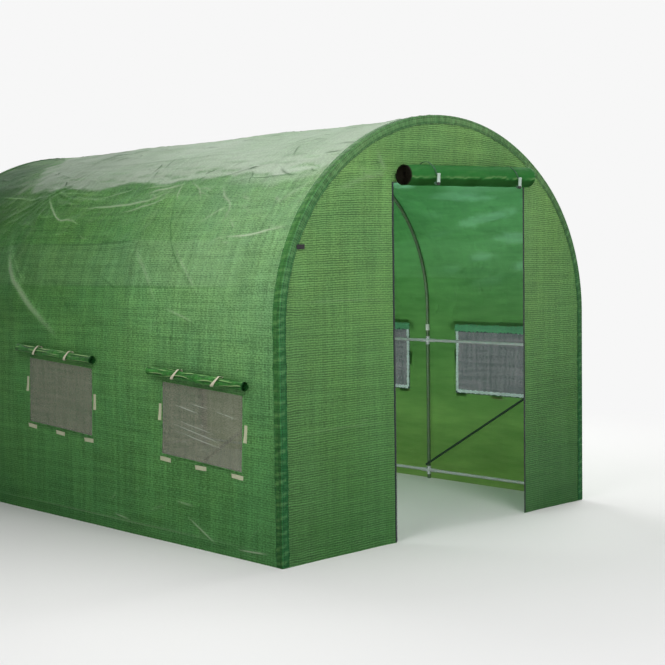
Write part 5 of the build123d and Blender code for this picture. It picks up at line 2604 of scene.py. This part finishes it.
@dataclass(frozen=True)
class TubeFrame:
    """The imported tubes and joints, and the screws that hold them."""

    tunnel: Tunnel
    head_radius: float = 0.0036
    sleeve_radius: float = 0.012
    screw_apart: float = 0.03

    def dress(self, finishes: Finishes) -> None:
        """Give every tube and joint its finish."""
        # The hoops, their joints and the upper rails take the darker zinc with painted shade and green
        # reflections.
        by_word = {
            "_braces": finishes.green_tube, "waist_joints": finishes.zinc, "foot_joints": finishes.zinc,
            "_joints": finishes.dull_zinc, "leg_sleeves": finishes.joint_plastic,
            "shoulder_rail": finishes.dull_zinc, "ridge_rail": finishes.dull_zinc, "_rail": finishes.zinc,
            "_arch": finishes.dull_zinc, "_legs": finishes.dull_zinc,
        }
        for name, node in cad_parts.items():
            for word, material in by_word.items():
                if word in name:
                    node.data.materials.clear()
                    node.data.materials.append(material)
                    break

    def screws(self, finishes: Finishes) -> None:
        """Drive two pan-head screws into every joint, from inside the tunnel."""
        bpy.ops.object.select_all(action="DESELECT")
        bpy.ops.mesh.primitive_cylinder_add(vertices=16, radius=self.head_radius, depth=0.003)
        screw = bpy.context.object
        pick(screw, lambda face: face.normal.z > 0.9)
        bpy.ops.mesh.bevel(offset=0.0012, segments=3)
        bpy.ops.object.mode_set(mode="OBJECT")
        pick(screw, lambda face: face.normal.z > 0.95)
        bpy.ops.mesh.inset(thickness=0.0011)
        push_out(-0.0012)
        bpy.ops.object.mode_set(mode="OBJECT")
        screw.data.materials.append(finishes.screw_steel)
        take_up(screw)
        bpy.ops.object.shade_smooth_by_angle(angle=math.radians(35))
        places = []
        arch = self.tunnel.arch
        leg_low, leg_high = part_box("second_hoop_legs")
        leg_x = leg_high.x - (leg_high.y - leg_low.y) / 2
        inset = arch.half_width - leg_x
        spots = [(0.0, arch.ridge_height - inset, (0.0, 1.0), (1.0, 0.0))]
        out = np.array([math.cos(arch.rail_angle), math.sin(arch.rail_angle)])
        centre = np.array([0.0, arch.crown_z]) + (arch.crown_radius - inset) * out
        for side in (-1, 1):
            spots.append((side * centre[0], centre[1], (side * out[0], out[1]), (-side * out[1], out[0])))
            for z in (self.tunnel.waist_rail, self.tunnel.base_rail):
                spots.append((side * leg_x, z, (float(side), 0.0), (0.0, 1.0)))
        for hoop in self.tunnel.hoops:
            for x, z, away, along in spots:
                inward = Vector((-away[0], 0, -away[1]))
                run = Vector((along[0], 0, along[1]))
                turn = standing(run, inward.cross(run), inward)
                middle = Vector((x, hoop, z)) + inward * (self.sleeve_radius + 0.0008)
                for step in (-0.5, 0.5):
                    places.append(Matrix.Translation(middle + run * step * self.screw_apart) @ turn)
        settle(copied(screw, "joint_screws", places))

    def build(self, finishes: Finishes) -> None:
        """Dress the frame and add its screws.

        Args:
            finishes: The tunnel's finishes.
        """
        self.dress(finishes)
        self.screws(finishes)


@dataclass(frozen=True)
class Studio:
    """The plain pale floor, soft light and the camera."""

    camera_place: tuple[float, float, float] = (-4.4172, -5.2820, 1.2189)
    yaw: float = 44.0211
    pitch: float = 3.2428
    roll: float = -0.7880
    lens: float = 71.65
    sensor: float = 36.0
    floor_colour: Colour = (0.74, 0.74, 0.73)
    floor_fade: Span = (2.3, 4.4)
    sky_colour: Colour = (0.97, 0.985, 1.0)
    sky_strength: float = 0.19
    backdrop: float = 0.93

    def camera(self) -> None:
        """Stand the camera where the photograph was taken."""
        yaw, pitch, roll = (math.radians(angle) for angle in (self.yaw, self.pitch, self.roll))
        level_way = math.cos(pitch)
        forward = Vector((math.sin(yaw) * level_way, math.cos(yaw) * level_way, -math.sin(pitch)))
        level = Vector((math.cos(yaw), -math.sin(yaw), 0))
        upward = level.cross(forward)
        right = level * math.cos(roll) + upward * math.sin(roll)
        up = -level * math.sin(roll) + upward * math.cos(roll)
        data = bpy.data.cameras.new("camera")
        data.sensor_width = self.sensor
        data.lens = self.lens
        made = bpy.data.objects.new("camera", data)
        made.matrix_world = Matrix.Translation(self.camera_place) @ standing(right, up, -forward)
        bpy.context.scene.collection.objects.link(made)
        bpy.context.scene.camera = made

    def floor(self) -> None:
        """Lay the pale floor, which fades into the backdrop far from the tunnel."""
        bpy.ops.object.select_all(action="DESELECT")
        bpy.ops.mesh.primitive_plane_add(size=160, location=(0, 0, 0))
        made = bpy.context.object
        made.name = "floor"
        material, bench, shader, leave = started_material("pale floor")
        bench.fill(shader, Base_Color=self.floor_colour, Roughness=0.9, Specular_IOR_Level=0.1)
        length = bench.add("ShaderNodeVectorMath", operation="LENGTH")
        bench.feed(length.inputs[0], bench.place())
        glow = bench.fill(bench.add("ShaderNodeEmission"), Color=(self.backdrop,) * 3)
        fade = bench.span(length.outputs["Value"], self.floor_fade, (0.0, 1.0))
        bench.feed(leave.inputs["Surface"], bench.two_shaders(fade, shader.outputs[0], glow.outputs[0]))
        made.data.materials.append(material)

    def sky(self) -> None:
        """Surround the scene with plain light, and a pale backdrop where it is seen."""
        world = bpy.data.worlds.new("studio")
        bpy.context.scene.world = world
        world.use_nodes = True
        world.node_tree.nodes.clear()
        bench = NodeBench(world.node_tree)
        path = bench.add("ShaderNodeLightPath")
        seen = bench.maths("ADD", path.outputs["Is Camera Ray"], path.outputs["Is Glossy Ray"])
        seen = bench.maths("ADD", seen, path.outputs["Is Transmission Ray"], clamp=True)
        strength = bench.span(seen, (0.0, 1.0), (self.sky_strength, self.backdrop))
        colour = bench.mix(seen, self.sky_colour, (1.0, 1.0, 1.0))
        light = bench.fill(bench.add("ShaderNodeBackground"), Color=colour, Strength=strength)
        leave = bench.add("ShaderNodeOutputWorld")
        bench.feed(leave.inputs["Surface"], light.outputs[0])

    def lamp(
        self, name: str, place: tuple[float, float, float], target: tuple[float, float, float], size: float,
        power: float, spread: float = 180,
    ) -> None:
        """Hang one soft lamp.

        Args:
            name: The lamp's name.
            place: Where it hangs.
            target: Where it shines.
            size: The side of its square.
            power: Its power in watts.
            spread: The angle that its light spreads over, in degrees.
        """
        data = bpy.data.lights.new(name, "AREA")
        data.spread = math.radians(spread)
        data.size = size
        data.energy = power
        made = bpy.data.objects.new(name, data)
        made.location = place
        made.rotation_euler = (Vector(target) - Vector(place)).to_track_quat("-Z", "Y").to_euler()
        made.visible_camera = False
        bpy.context.scene.collection.objects.link(made)

    def build(self) -> None:
        """Set up the studio."""
        bpy.context.scene.view_settings.view_transform = "Standard"
        self.camera()
        self.floor()
        self.sky()
        self.lamp("key lamp", (-2.4, -1.8, 2.1), target=(-1.0, -1.1, 1.0), size=1.2, power=30)
        self.lamp("front lamp", (-1.4, -4.9, 3.9), target=(-0.1, -1.4, 1.3), size=1.8, power=98)
        self.lamp("sky lamp", (2.6, 8.0, 8.0), target=(0.0, 0.0, 0.9), size=7.0, power=720)
        self.lamp("side lamp", (5.6, 0.2, 4.2), target=(0.9, 0.0, 0.9), size=5.0, power=138, spread=100)
        self.lamp("inside lamp", (-0.72, -0.5, 0.9), target=(1.0, -0.5, 0.6), size=0.8, power=7.0)


# How coarsely each film is cut where it has no folds: the two that face the camera are the finest.
CELLS = {Side.LEFT: 0.0158, Side.RIGHT: 0.024, End.FRONT: 0.0125, End.BACK: 0.0165}

# The folds of the left side, each as its line on the flat pattern, height, width and paleness: below 0 a
# painted shade, above 0 whitening with a painted highlight.
SEEN_FOLDS = (
    Crease(((0.93, 1.65), (1.03, 1.62), (1.2, 1.6)), 0.005, 0.009, 0.6),
    Crease(((0.95, 1.62), (1.03, 1.575), (1.2, 1.54), (1.45, 1.535), (1.75, 1.53)), 0.0042, 0.008, 0.6),
    Crease(((0.96, 1.56), (1.05, 1.53), (1.2, 1.505), (1.33, 1.49)), 0.003, 0.006, 0.5),
    Crease(((0.95, 1.63), (0.89, 1.48), (0.84, 1.37), (0.75, 1.25), (0.58, 1.09)), 0.003, 0.006, -0.35),
    Crease(((0.96, 1.66), (0.94, 1.6), (0.9, 1.53)), 0.003, 0.005, 0.55),
    Crease(((1.0, 1.655), (1.1, 1.64), (1.26, 1.642)), 0.0026, 0.005, 0.5),
    Crease(((0.9, 1.655), (0.8, 1.6), (0.74, 1.53)), 0.0026, 0.005, 0.4),
    Crease(((1.3, 1.665), (1.42, 1.62), (1.6, 1.6)), 0.0026, 0.006, 0.35),
    Crease(((1.9, 1.64), (1.7, 1.6), (1.5, 1.585)), 0.0026, 0.005, 0.3),
    Crease(((0.67, 1.64), (0.6, 1.56), (0.52, 1.5), (0.51, 1.4)), 0.004, 0.008, 0.4),
    Crease(((0.52, 1.5), (0.6, 1.46), (0.68, 1.41)), 0.0026, 0.006, 0.35),
    Crease(((0.48, 1.335), (0.31, 1.34), (0.15, 1.36), (0.08, 1.365)), 0.004, 0.006, 0.7),
    Crease(((2.08, 1.655), (1.92, 1.53), (1.8, 1.46), (1.72, 1.46), (1.57, 1.425)), 0.005, 0.008, 0.75),
    Crease(((2.2, 1.42), (2.05, 1.19), (1.9, 1.06), (1.74, 0.95), (1.56, 0.84)), 0.013, 0.032, 0.6),
    Crease(((2.15, 1.34), (1.96, 1.17), (1.87, 1.1)), 0.004, 0.01, 0.3),
    Crease(((1.3, 1.165), (1.1, 1.085)), 0.0025, 0.006, -0.3),
    Crease(((1.05, 1.3), (0.91, 1.16), (0.81, 1.02)), 0.0026, 0.011, 0.16),
    Crease(((0.77, 1.29), (0.63, 1.16), (0.54, 1.07)), 0.0026, 0.009, 0.2),
    Crease(((0.4, 1.12), (0.29, 0.96)), 0.002, 0.008, -0.12),
    Crease(((0.76, 1.015), (0.55, 0.955)), 0.0016, 0.006, 0.25),
    Crease(((1.61, 1.45), (1.5, 1.34)), 0.002, 0.007, -0.15),
    Crease(((2.6, 1.665), (2.38, 1.64), (2.18, 1.62)), 0.003, 0.006, 0.55),
    Crease(((0.76, 1.665), (0.58, 1.72), (0.45, 1.755)), 0.003, 0.006, -0.4),
    Crease(((0.68, 1.64), (0.46, 1.655), (0.15, 1.66)), 0.003, 0.005, -0.45),
    Crease(((1.76, 1.215), (1.43, 0.935)), 0.0026, 0.014, -0.12),
    Crease(((1.57, 1.045), (1.4, 0.935)), 0.002, 0.008, -0.1),
    Crease(((0.61, 0.13), (0.41, 0.035)), 0.002, 0.005, 0.4),
    Crease(((0.28, 0.035), (0.08, 0.045)), 0.002, 0.004, 0.5),
    Crease(((1.15, 0.075), (1.02, 0.06)), 0.002, 0.005, 0.35),
    Crease(((0.69, 0.185), (0.56, 0.178)), 0.0015, 0.005, 0.25),
)

# The pale streaks on the netting of the first left window.
STREAKS = (
    Crease(((0.195, 0.067), (0.105, 0.056), (0.015, 0.046)), 0.0012, 0.0028, 0.95),
    Crease(((0.09, 0.084), (0.02, 0.078), (-0.05, 0.074)), 0.001, 0.0024, 0.85),
    Crease(((0.22, -0.016), (0.04, -0.038), (-0.16, -0.062)), 0.0012, 0.0028, 0.9),
    Crease(((0.2, -0.045), (0.02, -0.064), (-0.16, -0.084)), 0.0012, 0.0028, 0.85),
    Crease(((0.2, 0.004), (0.04, -0.014), (-0.125, -0.034)), 0.001, 0.0024, 0.7),
    Crease(((-0.08, 0.073), (-0.16, 0.063), (-0.23, 0.054)), 0.001, 0.0024, 0.7),
    Crease(((0.012, 0.006), (0.0, 0.0), (-0.004, -0.004)), 0.001, 0.003, 0.7),
    Crease(((0.075, -0.03), (0.055, -0.036), (0.04, -0.036)), 0.001, 0.0025, 0.6),
    Crease(((0.15, -0.1), (0.12, -0.085), (0.09, -0.1)), 0.001, 0.003, 0.3),
    Crease(((0.02, -0.11), (-0.02, -0.1), (-0.06, -0.115)), 0.001, 0.003, 0.3),
)


def main() -> None:
    """Build the tunnel piece by piece, and the studio round it."""
    logging.basicConfig(level=logging.INFO, format="%(name)s: %(message)s")
    Studio().build()
    tunnel = Tunnel.from_frame()
    finishes = Finishes()
    rows = (
        WindowRow(
            Side.LEFT, tunnel, first=0.505, pitch=1.07, below_spring=0.41, angle=3.0,
            ribbon_offsets=((0.125, -0.145), (0.15, -0.12), (0.12, -0.13)),
        ),
        WindowRow(
            Side.RIGHT, tunnel, first=0.53, pitch=0.9, below_spring=0.28, angle=0.0,
            ribbon_offsets=((0.11, -0.12), (0.13, -0.11), (0.12, -0.13)),
        ),
    )
    for row in rows:
        folds = SEEN_FOLDS if row.side is Side.LEFT else ()
        SideCover(row.side, tunnel, row, CELLS[row.side], folds).build(finishes)
        row.build(finishes)
    for end in End:
        EndPanel(end, tunnel, CELLS[end]).build(finishes)
        HemBand(end, tunnel).build(finishes)
    Doorway.from_frame(tunnel).build(finishes)
    HemTab(tunnel).build(finishes)
    TubeFrame(tunnel).build(finishes)


if __name__ == "__main__":
    main()
